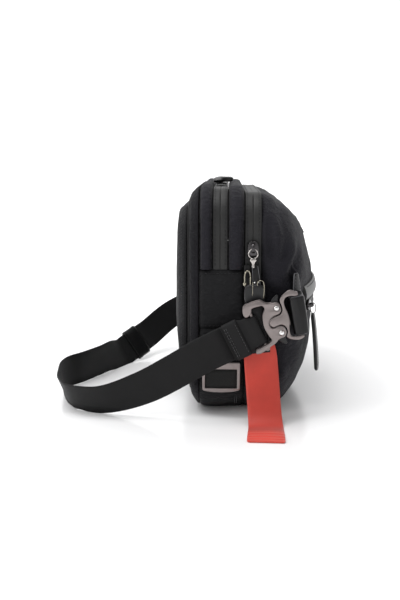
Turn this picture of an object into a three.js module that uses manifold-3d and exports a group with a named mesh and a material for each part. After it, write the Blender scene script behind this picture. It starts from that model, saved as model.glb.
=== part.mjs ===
// Small waist / crossbody bag standing on its base, with its belt, side buckle and ribbon tag.
// Millimetres. +Z up, +X is the front of the bag, -X the side worn against the body.
// Y runs along the width: "near" is the -Y end, "far" the +Y end.
// The origin lies on the floor plane, under the bag.
import * as THREE from 'three';
import { mergeVertices } from 'three/addons/utils/BufferGeometryUtils.js';
import Module from 'manifold-3d';

const wasm = await Module();
wasm.setup();

// ------------------------------------------------------------------ driving dimensions
const HALF_W = 130;            // half width of the bag
const R_TOP = 30;              // top corner radius, seen from the front
const R_BASE = 32;             // base corner radius, seen from the front
const R_FRONT = 300;           // radius of the bulging front, seen from above
const FABRIC_T = 3.0;          // padded fabric thickness
const TAPE_T = 1.2;            // zip tape thickness
const GAP = 0.3;               // clearance between neighbouring pieces

// heights
const REAR_TOP_Z = 204.8;      // top of the rear gusset strip
const MID_TOP_Z = 203.8;       // top of the middle gusset strip
const SIDE_SEAM_Z = 132.6;     // upper horizontal seam on the bag ends
const LOW_SEAM_Z = 80.0;       // lower horizontal seam
const FRONT_ZIP_END_Z = 100.0; // where the front zip stops above the base
const STRIP_END_Z = SIDE_SEAM_Z + GAP;

// depths, from the wearer's side to the front
const PAD_X = -62;
const REAR_X = -50.4;
const REAR_STRIP_X = [-41.7, -29.9];
const MID_STRIP_X = [-16.7, -2.2];
const FRONT_ZIP_X = [MID_STRIP_X[1] + GAP, 12.2];
const PANEL_X = FRONT_ZIP_X[1] + GAP; // rear edge of the domed front panel
const MAX_X = 68.7;

// belt and buckle
const WEB_W = 32;
const WEB_T = 1.4;
const STRAP_ANGLE = 27;        // slope of the belt end at the buckle, degrees
const RELEASE_ANGLE = 16;      // slope of the buckle's release direction, degrees
const RIVET_UPPER = [24.9, 102.8]; // x, z
const RIVET_LOWER = [29.7, 81.6];
const RIVET_R = 2.0;
const FRONT_PLATE_Y = [-147.6, -150.0]; // buckle plates, inner and outer face
const BACK_PLATE_Y = [-142.0, -144.0];
const BAR_Y = -145.8;
const BAR_R = 1.5;
const BAR_FIT = 0.35;          // clearance of webbing and leather round a bar

// ------------------------------------------------------------------ materials
const standard = (settings) => new THREE.MeshStandardMaterial(settings);
const fabric = standard({ color: 0x24222a, roughness: 0.9 });
const padding = standard({ color: 0x2c2c2e, roughness: 0.85 });
const tape = standard({ color: 0x33332f, roughness: 0.55 });
const lining = standard({ color: 0x3a3a40, roughness: 0.9 });
const webbing = standard({ color: 0x202022, roughness: 0.7 });
const leather = standard({ color: 0x141414, roughness: 0.35 });
const gunmetal = standard({ color: 0xa5968f, roughness: 0.35, metalness: 0.9 });
const darkMetal = standard({ color: 0x19191b, roughness: 0.4, metalness: 0.6 });
const steel = standard({ color: 0xd8d6d2, roughness: 0.2, metalness: 1 });
const gold = standard({ color: 0xc9b98a, roughness: 0.25, metalness: 1 });
const redCloth = standard({ color: 0xc0392f, roughness: 0.8 });
const coilPlastic = standard({ color: 0x18181a, roughness: 0.6 });
const slate = standard({ color: 0x4c4a4c, roughness: 0.35, metalness: 0.9 });
const boardStuff = standard({ color: 0x55524c, roughness: 0.8 });

// ------------------------------------------------------------------ vector helpers
const TURN = Math.PI * 2;
const rad = THREE.MathUtils.degToRad;
const vec = (point) => new THREE.Vector3(...point);

// unit vector: the part of a vector square to a unit direction
const squareTo = (vector, direction) =>
  vector.clone().addScaledVector(direction, -vector.dot(direction)).normalize();

const offset = (origin, u, alongU, v, alongV) =>
  origin.clone().addScaledVector(u, alongU).addScaledVector(v, alongV).toArray();

// points round a full turn; place receives the cosine and sine
const roundPoints = (count, place) => Array.from({ length: count }, (_, i) => {
  const angle = (i / count) * TURN;
  return place(Math.cos(angle), Math.sin(angle));
});

// corners of a rectangle centred across, from y0 to y1
const rectangle = (half, y0, y1) => [[half, y0], [-half, y0], [-half, y1], [half, y1]];

// ------------------------------------------------------------------ mesh helpers
const model = new THREE.Group();

// frame, if given: { origin, axes: [x, y, z] } that the piece is placed in
function add(name, geometry, material, frame) {
  const mesh = new THREE.Mesh(geometry, material);
  mesh.name = name;
  if (frame) {
    const basis = new THREE.Matrix4().makeBasis(...frame.axes.map(vec));
    mesh.quaternion.setFromRotationMatrix(basis);
    mesh.position.set(...frame.origin);
  }
  model.add(mesh);
  return mesh;
}

function indexed(positions, index) {
  const geometry = new THREE.BufferGeometry();
  geometry.setAttribute('position', new THREE.Float32BufferAttribute(positions, 3));
  geometry.setIndex(index);
  geometry.computeVertexNormals();
  return geometry;
}

// closed mesh, turned so that its faces look outwards
function closedMesh(points, triangles) {
  let volume = 0;
  for (const [a, b, c] of triangles) {
    const [A, B, C] = [points[a], points[b], points[c]];
    volume += A[0] * (B[1] * C[2] - B[2] * C[1])
      - A[1] * (B[0] * C[2] - B[2] * C[0])
      + A[2] * (B[0] * C[1] - B[1] * C[0]);
  }
  const outward = volume < 0 ? triangles.map(([a, b, c]) => [a, c, b]) : triangles;
  return indexed(points.flat(), outward.flat());
}

// triangles of one planar ring, all turning the same way as the ring itself
function capTriangles(ring) {
  const normal = new THREE.Vector3();
  ring.forEach((p, i) => {
    const q = ring[(i + 1) % ring.length];
    normal.x += (p[1] - q[1]) * (p[2] + q[2]);
    normal.y += (p[2] - q[2]) * (p[0] + q[0]);
    normal.z += (p[0] - q[0]) * (p[1] + q[1]);
  });
  normal.normalize();
  const seed = Math.abs(normal.x) < 0.8 ? [1, 0, 0] : [0, 1, 0];
  const u = squareTo(vec(seed), normal);
  const v = normal.clone().cross(u);
  const flat = ring.map((point) => new THREE.Vector2(vec(point).dot(u), vec(point).dot(v)));
  return THREE.ShapeUtils.triangulateShape(flat, []).map(([a, b, c]) => {
    const [A, B, C] = [flat[a], flat[b], flat[c]];
    const turn = (B.x - A.x) * (C.y - A.y) - (B.y - A.y) * (C.x - A.x);
    return turn >= 0 ? [a, b, c] : [a, c, b];
  });
}

// skin over rings of equal length; an open loft gets a cap at each end
function loft(rings, closed = false) {
  const size = rings[0].length;
  const count = rings.length;
  const triangles = [];
  for (let i = 0; i < (closed ? count : count - 1); i++) {
    const here = i * size;
    const next = ((i + 1) % count) * size;
    for (let j = 0; j < size; j++) {
      const k = (j + 1) % size;
      triangles.push([here + j, here + k, next + k], [here + j, next + k, next + j]);
    }
  }
  if (!closed) {
    const last = (count - 1) * size;
    for (const [a, b, c] of capTriangles(rings[0])) triangles.push([a, c, b]);
    for (const [a, b, c] of capTriangles(rings[count - 1])) {
      triangles.push([last + a, last + b, last + c]);
    }
  }
  return closedMesh(rings.flat(), triangles);
}

// indexed copy of a three.js geometry, positions only
function welded(geometry) {
  const copy = geometry.clone();
  for (const key of Object.keys(copy.attributes)) {
    if (key !== 'position') copy.deleteAttribute(key);
  }
  return mergeVertices(copy, 1e-4);
}

const toVector2 = (points) => points.map((p) => new THREE.Vector2(...p));

// outline in (x, y) extruded along +Z; holes are paths
function extrude(outline, depth, holes = [], curveSegments = 7) {
  const shape = new THREE.Shape(toVector2(outline));
  shape.holes.push(...holes);
  return welded(new THREE.ExtrudeGeometry(shape, { depth, bevelEnabled: false, curveSegments }));
}

function roundHole(x, y, radius) {
  const path = new THREE.Path();
  path.absarc(x, y, radius, 0, TURN, true);
  return path;
}

// outline in (x, z), extruded from y0 towards -Y
function prism(points, y0, depth, holes = []) {
  const clockwise = THREE.ShapeUtils.isClockWise(toVector2(points));
  const outline = clockwise ? [...points].reverse() : points;
  return extrude(outline, depth, holes).rotateX(Math.PI / 2).translate(0, y0, 0);
}

function box(x0, x1, y0, y1, z0, z1) {
  const geometry = new THREE.BoxGeometry(x1 - x0, y1 - y0, z1 - z0);
  return welded(geometry.translate((x0 + x1) / 2, (y0 + y1) / 2, (z0 + z1) / 2));
}

function rod(from, to, radius, segments = 12) {
  const [start, end] = [vec(from), vec(to)];
  const span = end.clone().sub(start);
  const geometry = new THREE.CylinderGeometry(radius, radius, span.length(), segments);
  const turn = new THREE.Quaternion()
    .setFromUnitVectors(new THREE.Vector3(0, 1, 0), span.normalize());
  geometry.applyQuaternion(turn);
  return welded(geometry.translate(...start.add(end).multiplyScalar(0.5).toArray()));
}

// round wire along a polyline
function wire(points, radius, segments = 6, closed = false) {
  const path = points.map(vec);
  const count = path.length;
  let side = null;
  return loft(path.map((centre, i) => {
    const before = path[closed ? (i + count - 1) % count : Math.max(i - 1, 0)];
    const after = path[closed ? (i + 1) % count : Math.min(i + 1, count - 1)];
    const tangent = after.clone().sub(before).normalize();
    side ??= vec(Math.abs(tangent.x) < 0.9 ? [1, 0, 0] : [0, 1, 0]);
    side = squareTo(side, tangent);
    const up = tangent.clone().cross(side);
    return roundPoints(segments, (cos, sin) => offset(centre, side, cos * radius, up, sin * radius));
  }), closed);
}

// flat strip along a smooth curve; stations are [centre, direction across the strip]
function curvedStrip(stations, width, thickness, samples) {
  const centres = stations.map(([centre]) => vec(centre));
  const curve = new THREE.CatmullRomCurve3(centres, false, 'centripetal');
  const acrosses = stations.map(([, across]) => vec(across).normalize());
  const rings = [];
  for (let i = 0; i <= samples; i++) {
    const centre = curve.getPoint(i / samples);
    const tangent = curve.getTangent(i / samples);
    const position = (i / samples) * (stations.length - 1);
    const station = Math.min(Math.floor(position), stations.length - 2);
    const blend = acrosses[station].clone().lerp(acrosses[station + 1], position - station);
    const across = squareTo(blend, tangent);
    const normal = tangent.clone().cross(across);
    rings.push(rectangle(width / 2, thickness / 2, -thickness / 2)
      .map(([a, b]) => offset(centre, across, a, normal, b)));
  }
  return loft(rings);
}

// tube between stations s0 and s1; outer and inner are sections, place maps (s, a, b) to a point
const sleeve = (outer, inner, s0, s1, place) => loft(outer.map((corner, i) => [
  place(s0, ...corner), place(s1, ...corner), place(s1, ...inner[i]), place(s0, ...inner[i]),
]), true);

// ------------------------------------------------------------------ boolean helpers
const toSolid = (geometry) => new wasm.Manifold(new wasm.Mesh({
  numProp: 3,
  vertProperties: new Float32Array(geometry.attributes.position.array),
  triVerts: new Uint32Array(geometry.index.array),
}));

// operation is the name of a Manifold method: add, subtract or intersect
function combine(first, operation, second) {
  const mesh = toSolid(first)[operation](toSolid(second)).getMesh();
  return indexed(mesh.vertProperties, [...mesh.triVerts]);
}

// ------------------------------------------------------------------ bag outlines
// closed rounded outline, as [y, z] points
function outline(halfWidth, z0, z1, topRadius, baseRadius, steps = 6) {
  const corners = [ // centre y, centre z, radius
    [halfWidth - topRadius, z1 - topRadius, topRadius],
    [-halfWidth + topRadius, z1 - topRadius, topRadius],
    [-halfWidth + baseRadius, z0 + baseRadius, baseRadius],
    [halfWidth - baseRadius, z0 + baseRadius, baseRadius],
  ];
  return corners.flatMap(([y, z, radius], quarter) =>
    Array.from({ length: steps + 1 }, (_, i) => {
      const angle = (quarter + i / steps) * Math.PI / 2;
      return [y + radius * Math.cos(angle), z + radius * Math.sin(angle)];
    }));
}

const atDepth = (x, points) => points.map(([y, z]) => [x, y, z]);
const sheet = (points, x0, x1) => loft([atDepth(x0, points), atDepth(x1, points)]);

// open path over the top, down to endZ at both ends; points are [y, z, normal y, normal z]
function arch(halfWidth, topZ, radius, endZ, steps = 6) {
  const path = [[-halfWidth, endZ, -1, 0]];
  for (const side of [-1, 1]) {
    for (let i = 0; i <= steps; i++) {
      const angle = (side < 0 ? Math.PI : Math.PI / 2) - (i / steps) * Math.PI / 2;
      const [cos, sin] = [Math.cos(angle), Math.sin(angle)];
      path.push([side * (halfWidth - radius) + radius * cos, topZ - radius + radius * sin, cos, sin]);
    }
  }
  path.push([halfWidth, endZ, 1, 0]);
  return path;
}

// open path under the base, up to endZ at both ends
const cradle = (halfWidth, radius, endZ) =>
  arch(halfWidth, 0, radius, -endZ).map(([y, z, ny, nz]) => [y, -z, ny, -nz]);

// band along a path, from x0 to x1; its outer face lies at the given depth inside the path
const band = (path, [x0, x1], thickness, depth = 0) => loft(path.map(([y, z, ny, nz]) => {
  const corner = (x, inset) => [x, y - ny * inset, z - nz * inset];
  const inner = depth + thickness;
  return [corner(x0, depth), corner(x1, depth), corner(x1, inner), corner(x0, inner)];
}));

// ------------------------------------------------------------------ rear
const BACK_PAD = [ // x, half width, base z, top z, corner radius
  [REAR_X - GAP, 112, 34, 188, 24], [-57.5, 112, 34, 188, 24],
  [-60.8, 109.5, 36.5, 185.5, 22], [PAD_X, 104, 42, 180, 18]];
const REAR_EDGE = [ // x, side inset, top inset, base inset
  [REAR_X, 8.5, 10.5, 15], [-46.2, 3.6, 5.2, 5.5], [REAR_STRIP_X[0] - GAP, 0.8, 1.2, 0.8]];

function addRear() {
  add('back_pad', loft(BACK_PAD.map(([x, halfWidth, z0, z1, radius]) =>
    atDepth(x, outline(halfWidth, z0, z1, radius, radius)))), padding);

  const outer = REAR_EDGE.map(([x, side, top, base]) => atDepth(x, outline(
    HALF_W - side, base, REAR_TOP_Z - top, R_TOP - top * 0.2, R_BASE - base * 0.3)));
  const inner = [REAR_EDGE[2], REAR_EDGE[0]].map(([x, side, top, base]) => atDepth(x, outline(
    HALF_W - side - FABRIC_T, base + FABRIC_T, REAR_TOP_Z - top - FABRIC_T,
    R_TOP - FABRIC_T, R_BASE - 4)));
  const sections = [...outer, ...inner];
  const rings = outer[0].map((_, i) => sections.map((section) => section[i]));
  add('rear_edge_band', loft(rings, true), fabric);

  const [, side, top, base] = REAR_EDGE[0];
  const inset = FABRIC_T + 0.4;
  const panel = outline(
    HALF_W - side - inset, base + inset, REAR_TOP_Z - top - inset, R_TOP - inset, R_BASE - 4);
  add('rear_panel', sheet(panel, -50.3, -48.3), padding);
  add('rear_slip_pocket', sheet(outline(104, 22, 120, 6, 10, 2), -47.9, -46.7), lining);
}

// ------------------------------------------------------------------ gusset strips, zips, base
const MAIN_ZIP = {
  name: 'main_zip', centreX: -23.3, spanX: [REAR_STRIP_X[1] + GAP, MID_STRIP_X[0] - GAP],
  halfWidth: HALF_W - 0.7, topZ: 203.0, radius: R_TOP - 1,
  tapeEndZ: STRIP_END_Z, coilEndZ: STRIP_END_Z + 1,
};
const FRONT_ZIP = {
  name: 'front_zip', centreX: 5.2, spanX: FRONT_ZIP_X,
  halfWidth: HALF_W - 1.0, topZ: 199.4, radius: R_TOP - 3,
  tapeEndZ: FRONT_ZIP_END_Z + GAP, coilEndZ: FRONT_ZIP_END_Z + 1,
};
const TAPE_HALF_GAP = 0.2;
const COIL_HALF_W = 2;
const COIL_T = 1.6;

function addZip({ name, centreX, spanX, halfWidth, topZ, radius, tapeEndZ, coilEndZ }) {
  const tapePath = arch(halfWidth, topZ, radius, tapeEndZ);
  const coilPath = arch(halfWidth, topZ, radius, coilEndZ);
  const rearSpan = [spanX[0], centreX - TAPE_HALF_GAP];
  const frontSpan = [centreX + TAPE_HALF_GAP, spanX[1]];
  const coilSpan = [centreX - COIL_HALF_W, centreX + COIL_HALF_W];
  add(name + '_tape_rear', band(tapePath, rearSpan, TAPE_T), tape);
  add(name + '_tape_front', band(tapePath, frontSpan, TAPE_T), tape);
  add(name + '_coil', band(coilPath, coilSpan, COIL_T, TAPE_T + GAP), coilPlastic);
}

function addGussets() {
  const rearPath = arch(HALF_W, REAR_TOP_Z, R_TOP, STRIP_END_Z);
  add('rear_gusset_strip', band(rearPath, REAR_STRIP_X, FABRIC_T), fabric);
  addZip(MAIN_ZIP);
  const middlePath = arch(HALF_W, MID_TOP_Z, R_TOP, STRIP_END_Z);
  add('middle_gusset_strip', band(middlePath, MID_STRIP_X, FABRIC_T), fabric);
  addZip(FRONT_ZIP);

  const bodySpan = [REAR_STRIP_X[0], MID_STRIP_X[1]];
  const sideZ = [LOW_SEAM_Z + GAP, SIDE_SEAM_Z];
  add('side_panel_near', box(...bodySpan, -HALF_W, -HALF_W + FABRIC_T, ...sideZ), fabric);
  add('side_panel_far', box(...bodySpan, HALF_W - FABRIC_T, HALF_W, ...sideZ), fabric);
  add('base_gusset', band(cradle(HALF_W, R_BASE, LOW_SEAM_Z), bodySpan, FABRIC_T), fabric);
  const frontPath = cradle(HALF_W - 0.4, R_BASE, FRONT_ZIP_END_Z);
  add('front_base_gusset', band(frontPath, FRONT_ZIP_X, FABRIC_T), fabric);
}

function addInterior() {
  const floorZ = FABRIC_T + 0.4;
  const divider = outline(HALF_W - FABRIC_T - 0.5, floorZ, MID_TOP_Z - FABRIC_T - 0.5,
    R_TOP - FABRIC_T, R_BASE - FABRIC_T);
  add('divider_panel', sheet(divider, -9.4, -7.8), lining);
  add('base_board', box(-40.5, -10.4, -94, 94, floorZ, floorZ + 2), boardStuff);
}

// ------------------------------------------------------------------ domed front panel
// In plan the front is an arc of radius R_FRONT about a vertical axis through (ARC_X, 0).
const ARC_X = MAX_X - R_FRONT;
const halfAt = (x) => Math.sqrt(R_FRONT ** 2 - (x - ARC_X) ** 2);
const FRONT = [ // x, top z, base z, half width, corner radius
  [PANEL_X, 199.0, 0, 129.8, 32], [24, 193.0, 1.2, 129.4, 34],
  [33, 187.0, 7.0, 127.5, 36], [40, 180.8, 14.0, 123.5, 38],
  [46.5, 172.6, 19.4, 115.2, 42], [52, 163.6, 23.2, halfAt(52), 46],
  [58, 150.5, 28.4, halfAt(58), 46], [63, 137, 36.0, halfAt(63), 38],
  [66, 123, 45.5, halfAt(66), 26], [68, 112, 58, halfAt(68), 16],
  [MAX_X, 106, 70, 9, 7]];
const FRONT_T = 2.6;
const POCKET_TAPE = [0.35, 1.45]; // inner and outer face, outwards from the front arc
const POCKET_WELT = [ // distance outwards from the front arc, z
  [0.35, 100.7], [2.0, 100.9], [3.1, 103.3], [3.1, 107], [1.9, 111.4], [0.35, 113.4]];

// strip round the front arc; the section is [distance outwards from the arc, z]
function arcStrip(section, halfAngle, steps = 14) {
  const rings = [];
  for (let i = 0; i <= steps; i++) {
    const angle = rad(-halfAngle + (2 * halfAngle * i) / steps);
    rings.push(section.map(([out, z]) => {
      const radius = R_FRONT + out;
      return [ARC_X + radius * Math.cos(angle), radius * Math.sin(angle), z];
    }));
  }
  return loft(rings);
}

const arcSection = ([out0, out1], z0, z1) => [[out0, z0], [out1, z0], [out1, z1], [out0, z1]];

function addFrontPanel() {
  const outer = FRONT.map(([x, top, base, halfWidth, radius]) =>
    atDepth(x, outline(halfWidth, base, top, radius, radius)));
  // the inner skin is flattened in depth and drawn in a little more at each station
  const flatten = (MAX_X - PANEL_X - FRONT_T) / (MAX_X - PANEL_X);
  const inner = FRONT.map(([x, top, base, halfWidth, radius], i) => {
    const innerRadius = Math.max(radius - 2.5, 3);
    const innerHalf = Math.max(halfWidth - FRONT_T - i * 0.25, 5);
    const inset = FRONT_T + i * 0.15;
    return atDepth(PANEL_X + (x - PANEL_X) * flatten,
      outline(innerHalf, base + inset, top - inset, innerRadius, innerRadius));
  });
  const shell = loft([...inner.reverse(), ...outer]);
  const zipSlot = arcStrip(arcSection([-12, 12], 91.6, 98.0), 17.2);
  add('front_panel', combine(shell, 'subtract', zipSlot), fabric);
}

function addFrontPocket() {
  add('pocket_zip_tape_upper', arcStrip(arcSection(POCKET_TAPE, 95.0, 100.4), 18.9), tape);
  add('pocket_zip_tape_lower', arcStrip(arcSection(POCKET_TAPE, 88.4, 94.6), 18.9), tape);
  add('pocket_zip_coil', arcStrip(arcSection([-2, 0.05], 92.8, 96.8), 16.8), coilPlastic);
  add('pocket_welt', arcStrip(POCKET_WELT, 19.4), tape);
}

// point in a plane, from a centre: some way along a direction and some way out from it
const fromCentre = (centre, direction, normal, run, out) =>
  [0, 1].map((i) => centre[i] + direction[i] * run + normal[i] * out);

// small patch on the slope of the front, above the pocket
function addLabelPatch() {
  const at = (run, out) => fromCentre([55.6, 157.2], [0.385, -0.923], [0.923, 0.385], run, out);
  const section = [at(-8.5, 0.5), at(8.5, 0.5), at(8.5, 1.6), at(-8.5, 1.6)];
  add('label_patch', loft([-26, 26].map((y) => section.map(([x, z]) => [x, y, z]))), leather);
}

// ------------------------------------------------------------------ badge on the near end
const BADGE = [ // x, z
  [-38.6, 24.8], [-30, 23.4], [-22, 23.0], [-13, 23.5], [-5.2, 25.2], [-5.2, 50.4], [-38.6, 50.4]];

function addBadge() {
  // the base corner of the bag turns in below R_BASE, so the badge stands clear of it
  const backY = -130.4;
  const [x0, x1, z0, z1] = [-36.2, -8.0, 26.8, 44.2];
  const window = new THREE.Path(toVector2([[x0, z0], [x0, z1], [x1, z1], [x1, z0]]));
  add('badge_frame', prism(BADGE, backY, 1.8, [window]), gunmetal);
  const panel = box(x0 + GAP, x1 - GAP, backY - 1, backY, z0 + GAP, z1 - GAP);
  add('badge_panel', panel, darkMetal);
}

// ------------------------------------------------------------------ zip sliders and pullers
// Frame of a slider: x across the zip, y along it, z away from the bag.
// The main and front pullers lie towards -y.
const PIVOT_Y = -0.4; // where a puller ring passes through the bridge
const PIVOT_Z = 3.65;
const SLIDER_PLATE = [ // x, y
  [-3.2, -6], [3.2, -6], [4.9, -3], [4.9, 3.2], [2.6, 6.2], [-2.6, 6.2], [-4.9, 3.2], [-4.9, -3]];
const SLIDER_BRIDGE = [ // y, z
  [-3.8, 2.2], [-3.8, 4.9], [-2.6, 6.1], [3.0, 6.1], [4.3, 4.7], [4.3, 2.2],
  [2.7, 2.2], [2.7, 4.3], [2.3, 4.7], [-1.9, 4.7], [-2.4, 4.3], [-2.4, 2.2]];

function sliderBody() {
  const thickness = 2.2;
  const plate = extrude(SLIDER_PLATE, thickness).translate(0, 0, 0.3);
  // the bridge is extruded along z, then turned so that its depth runs along x
  const turn = new THREE.Matrix4().makeBasis(vec([0, 1, 0]), vec([0, 0, 1]), vec([1, 0, 0]));
  const bridge = extrude(SLIDER_BRIDGE, thickness).translate(0, 0, -thickness / 2);
  return combine(plate, 'add', bridge.applyMatrix4(turn));
}

// oval link ring, hanging from the pivot
function pullerRing(length, halfWidth) {
  const half = length / 2;
  const points = roundPoints(16, (cos, sin) =>
    [halfWidth * sin, PIVOT_Y - half + half * cos, PIVOT_Z]);
  return wire(points, 0.6, 6, true);
}

// flat tab with trimmed corners, from startY down to endY
function pullerTab({ startY, endY, startWidth, endWidth, thickness, centreZ = PIVOT_Z }) {
  const [start, end] = [startWidth / 2, endWidth / 2];
  const points = [
    [-start + 1, startY], [start - 1, startY], [start, startY - 1.2], [end, endY + 2],
    [end - 1.6, endY], [-end + 1.6, endY], [-end, endY + 2], [-start, startY - 1.2]];
  return extrude(points, thickness).translate(0, 0, centreZ - thickness / 2);
}

// turn a puller about its pivot; pitch about x and roll about z, in degrees
const tilt = (geometry, pitch, roll = 0) => geometry
  .translate(0, -PIVOT_Y, -PIVOT_Z)
  .rotateZ(rad(roll))
  .rotateX(rad(pitch))
  .translate(0, PIVOT_Y, PIVOT_Z);

// on top of the bag; the puller lies towards the near end
function addMainSlider() {
  const frame = {
    origin: [MAIN_ZIP.centreX, -22, MAIN_ZIP.topZ], axes: [[1, 0, 0], [0, 1, 0], [0, 0, 1]],
  };
  const pitch = -3.5;
  const tab = pullerTab({
    startY: -9.3, endY: -44, startWidth: 8.0, endWidth: 12.4, thickness: 3.2, centreZ: 4.4,
  });
  add('main_slider', sliderBody(), slate, frame);
  add('main_puller_ring', tilt(pullerRing(7.6, 3.7), pitch), gunmetal, frame);
  add('main_puller_tab', tilt(tab, pitch, 1), leather, frame);
}

// on the near end of the bag; the puller hangs down
function addFrontSlider() {
  const frame = {
    origin: [FRONT_ZIP.centreX, -FRONT_ZIP.halfWidth, 151.5],
    axes: [[1, 0, 0], [0, 0, 1], [0, -1, 0]],
  };
  const pitch = -2;
  const fork = pullerTab({
    startY: -9.9, endY: -14.2, startWidth: 6.6, endWidth: 3.4, thickness: 2.2,
  });
  const tab = pullerTab({
    startY: -14.6, endY: -31.5, startWidth: 4.6, endWidth: 6.0, thickness: 2.6,
  });
  add('front_slider', sliderBody(), slate, frame);
  add('front_puller_ring', tilt(pullerRing(8.2, 4.0), pitch), gunmetal, frame);
  add('front_puller_fork', tilt(fork, pitch), steel, frame);
  add('front_puller_tab', tilt(tab, pitch, 6), leather, frame);
}

// on the front arc; here x is up, so the ring and tab hang towards -x
function addPocketSlider() {
  const angle = rad(-17);
  const [cos, sin] = [Math.cos(angle), Math.sin(angle)];
  const radius = R_FRONT + POCKET_TAPE[1];
  const frame = {
    origin: [ARC_X + radius * cos, radius * sin, 94.8],
    axes: [[0, 0, 1], [sin, -cos, 0], [cos, sin, 0]],
  };
  const centreY = 0.15;
  add('pocket_slider', sliderBody(), slate, frame);

  const ring = roundPoints(16, (c, s) => [-2.7 + 4.9 * c, centreY, 5.45 + 2.3 * s]);
  add('pocket_puller_ring', wire(ring, 0.48, 6, true), gunmetal, frame);

  const lean = Math.tan(rad(5.2));
  const section = (x, width) => {
    const innerZ = 3.8 - (x + 9) * lean;
    const outerZ = innerZ + 3.2;
    const [y0, y1] = [centreY - width / 2, centreY + width / 2];
    return [[x, y0, innerZ], [x, y1, innerZ], [x, y1, outerZ], [x, y0, outerZ]];
  };
  const tab = loft([section(-9.3, 6.5), section(-11, 8.6), section(-58, 9.2), section(-61, 7.2)]);
  add('pocket_puller_tab', tab, leather, frame);
}

// ------------------------------------------------------------------ belt
const BELT_DIR = [Math.cos(rad(STRAP_ANGLE)), Math.sin(rad(STRAP_ANGLE))]; // to the buckle, x, z
const BELT_ACROSS = [-BELT_DIR[1], BELT_DIR[0]];
const STRAP_BAR = [10.1, 82.9]; // middle of the female strap bar, x, z
const nearBar = (run, across = 0) =>
  fromCentre(STRAP_BAR, BELT_DIR, BELT_ACROSS, run, across);
const beltPoint = (run, y, across) => {
  const [x, z] = nearBar(run, across);
  return [x, y, z];
};

// straight run that carries the adjuster: its ends and its direction across
const RUN_START = [-130.3, 64, 15.2];
const RUN_END = [-114.4, 92, 23.4];
const RUN_ACROSS = [-0.6, 0, 0.8];
const onRun = (share) => RUN_START.map((value, i) => value + (RUN_END[i] - value) * share);

const END_ACROSS = [BELT_ACROSS[0], 0, BELT_ACROSS[1]];
const BELT = [ // centre (x, y, z), direction across the webbing
  [beltPoint(-16, -139.7), END_ACROSS], [beltPoint(-34, -139.7), END_ACROSS],
  [beltPoint(-54, -139.5), END_ACROSS],
  [[-59, -138.4, 45.6], [-0.46, -0.03, 0.89]], [[-91, -135.6, 27.6], [-0.36, -0.14, 0.92]],
  [[-128, -132.2, 15.2], [-0.1, -0.43, 0.9]], [[-156.5, -122.6, 14.4], [-0.3, -0.4, 0.86]],
  [[-167.6, -106.4, 15.0], [-0.33, -0.23, 0.91]], [[-173.6, -87, 15.9], [-0.2, -0.08, 0.97]],
  [[-178.6, -61, 16.3], [-0.06, 0, 1]], [[-176, -41, 16.3], [0, 0, 1]],
  [[-166, -24, 16.3], [0, 0, 1]], [[-153.5, 3, 16.3], [0, 0, 1]],
  [[-144.5, 26, 16.1], [-0.12, 0, 0.99]], [onRun(-0.3), [-0.5, 0, 0.86]],
  [RUN_START, RUN_ACROSS], [RUN_END, RUN_ACROSS], [onRun(1.3), [-0.58, 0, 0.81]],
  [[-84, 123, 44.5], [-0.5, -0.05, 0.86]], [[-44, 134, 62.5], [-0.39, 0, 0.92]],
  [[-4, 135.5, 79.5], [-0.39, 0, 0.92]], [[20, 135, 90], [-0.4, 0, 0.92]],
  [[33, 133, 95.6], [-0.36, 0.2, 0.92]], [[41.2, 129.4, 98.6], [-0.3, 0.32, 0.9]],
  [[48.2, 121.6, 101], [-0.26, 0.34, 0.9]]];

// belt end: runs from the keeper round the female strap bar and back, two layers
function addStrapEnd() {
  const innerR = BAR_R + BAR_FIT;
  const roundBar = (radius) => Array.from({ length: 9 }, (_, i) => {
    const angle = -Math.PI / 2 + (i / 8) * Math.PI;
    return [radius * Math.cos(angle), BAR_Y + radius * Math.sin(angle)];
  });
  const [bendRun, endRun] = [-12, -29];
  const [outerLayerY, innerLayerY] = [-144.95, -141.95]; // free faces of the two layers
  const section = [ // run along the belt, y
    [endRun, outerLayerY], [bendRun, outerLayerY],
    ...roundBar(innerR + WEB_T),
    [bendRun, innerLayerY], [endRun, innerLayerY],
    [endRun, innerLayerY - WEB_T], [bendRun, innerLayerY - WEB_T],
    ...roundBar(innerR).reverse(),
    [bendRun, outerLayerY + WEB_T], [endRun, outerLayerY + WEB_T],
  ];
  // the webbing is gathered to fit between the buckle plates at the bar
  const upperHalf = (run) => (run > -4 ? 13.6 : run > -13 ? 14.6 : WEB_W / 2);
  const lowerHalf = (run) => (run > -4 ? 12.6 : run > -13 ? 13.6 : WEB_W / 2);
  const lower = section.map(([run, y]) => beltPoint(run, y, -lowerHalf(run)));
  const upper = section.map(([run, y]) => beltPoint(run, y, upperHalf(run)));
  add('strap_end_loop', loft([lower, upper]), webbing);
}

function addStrapKeeper() {
  const outer = rectangle(17.3, -140.75, -146.15);
  const inner = rectangle(16.4, -141.55, -145.35);
  const keeper = sleeve(outer, inner, -27.4, -14.4, (run, across, y) => beltPoint(run, y, across));
  add('strap_keeper', keeper, webbing);
}

function addStrapAdjuster() {
  const centre = vec(onRun(0.5));
  const tangent = vec(RUN_END).sub(vec(RUN_START)).normalize();
  const across = squareTo(vec(RUN_ACROSS), tangent);
  const normal = tangent.clone().cross(across);
  const place = (run, a, b) =>
    offset(centre.clone().addScaledVector(tangent, run), across, a, normal, b);
  const outer = rectangle(18, 2.3, -2.3);
  const inner = rectangle(16.5, 1.15, -1.15);
  add('strap_adjuster', sleeve(outer, inner, -10, 10, place), darkMetal);
}

function addBelt() {
  add('waist_strap', curvedStrip(BELT, WEB_W, WEB_T, 72), webbing);
  addStrapEnd();
  addStrapKeeper();
  addStrapAdjuster();
}

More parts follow.
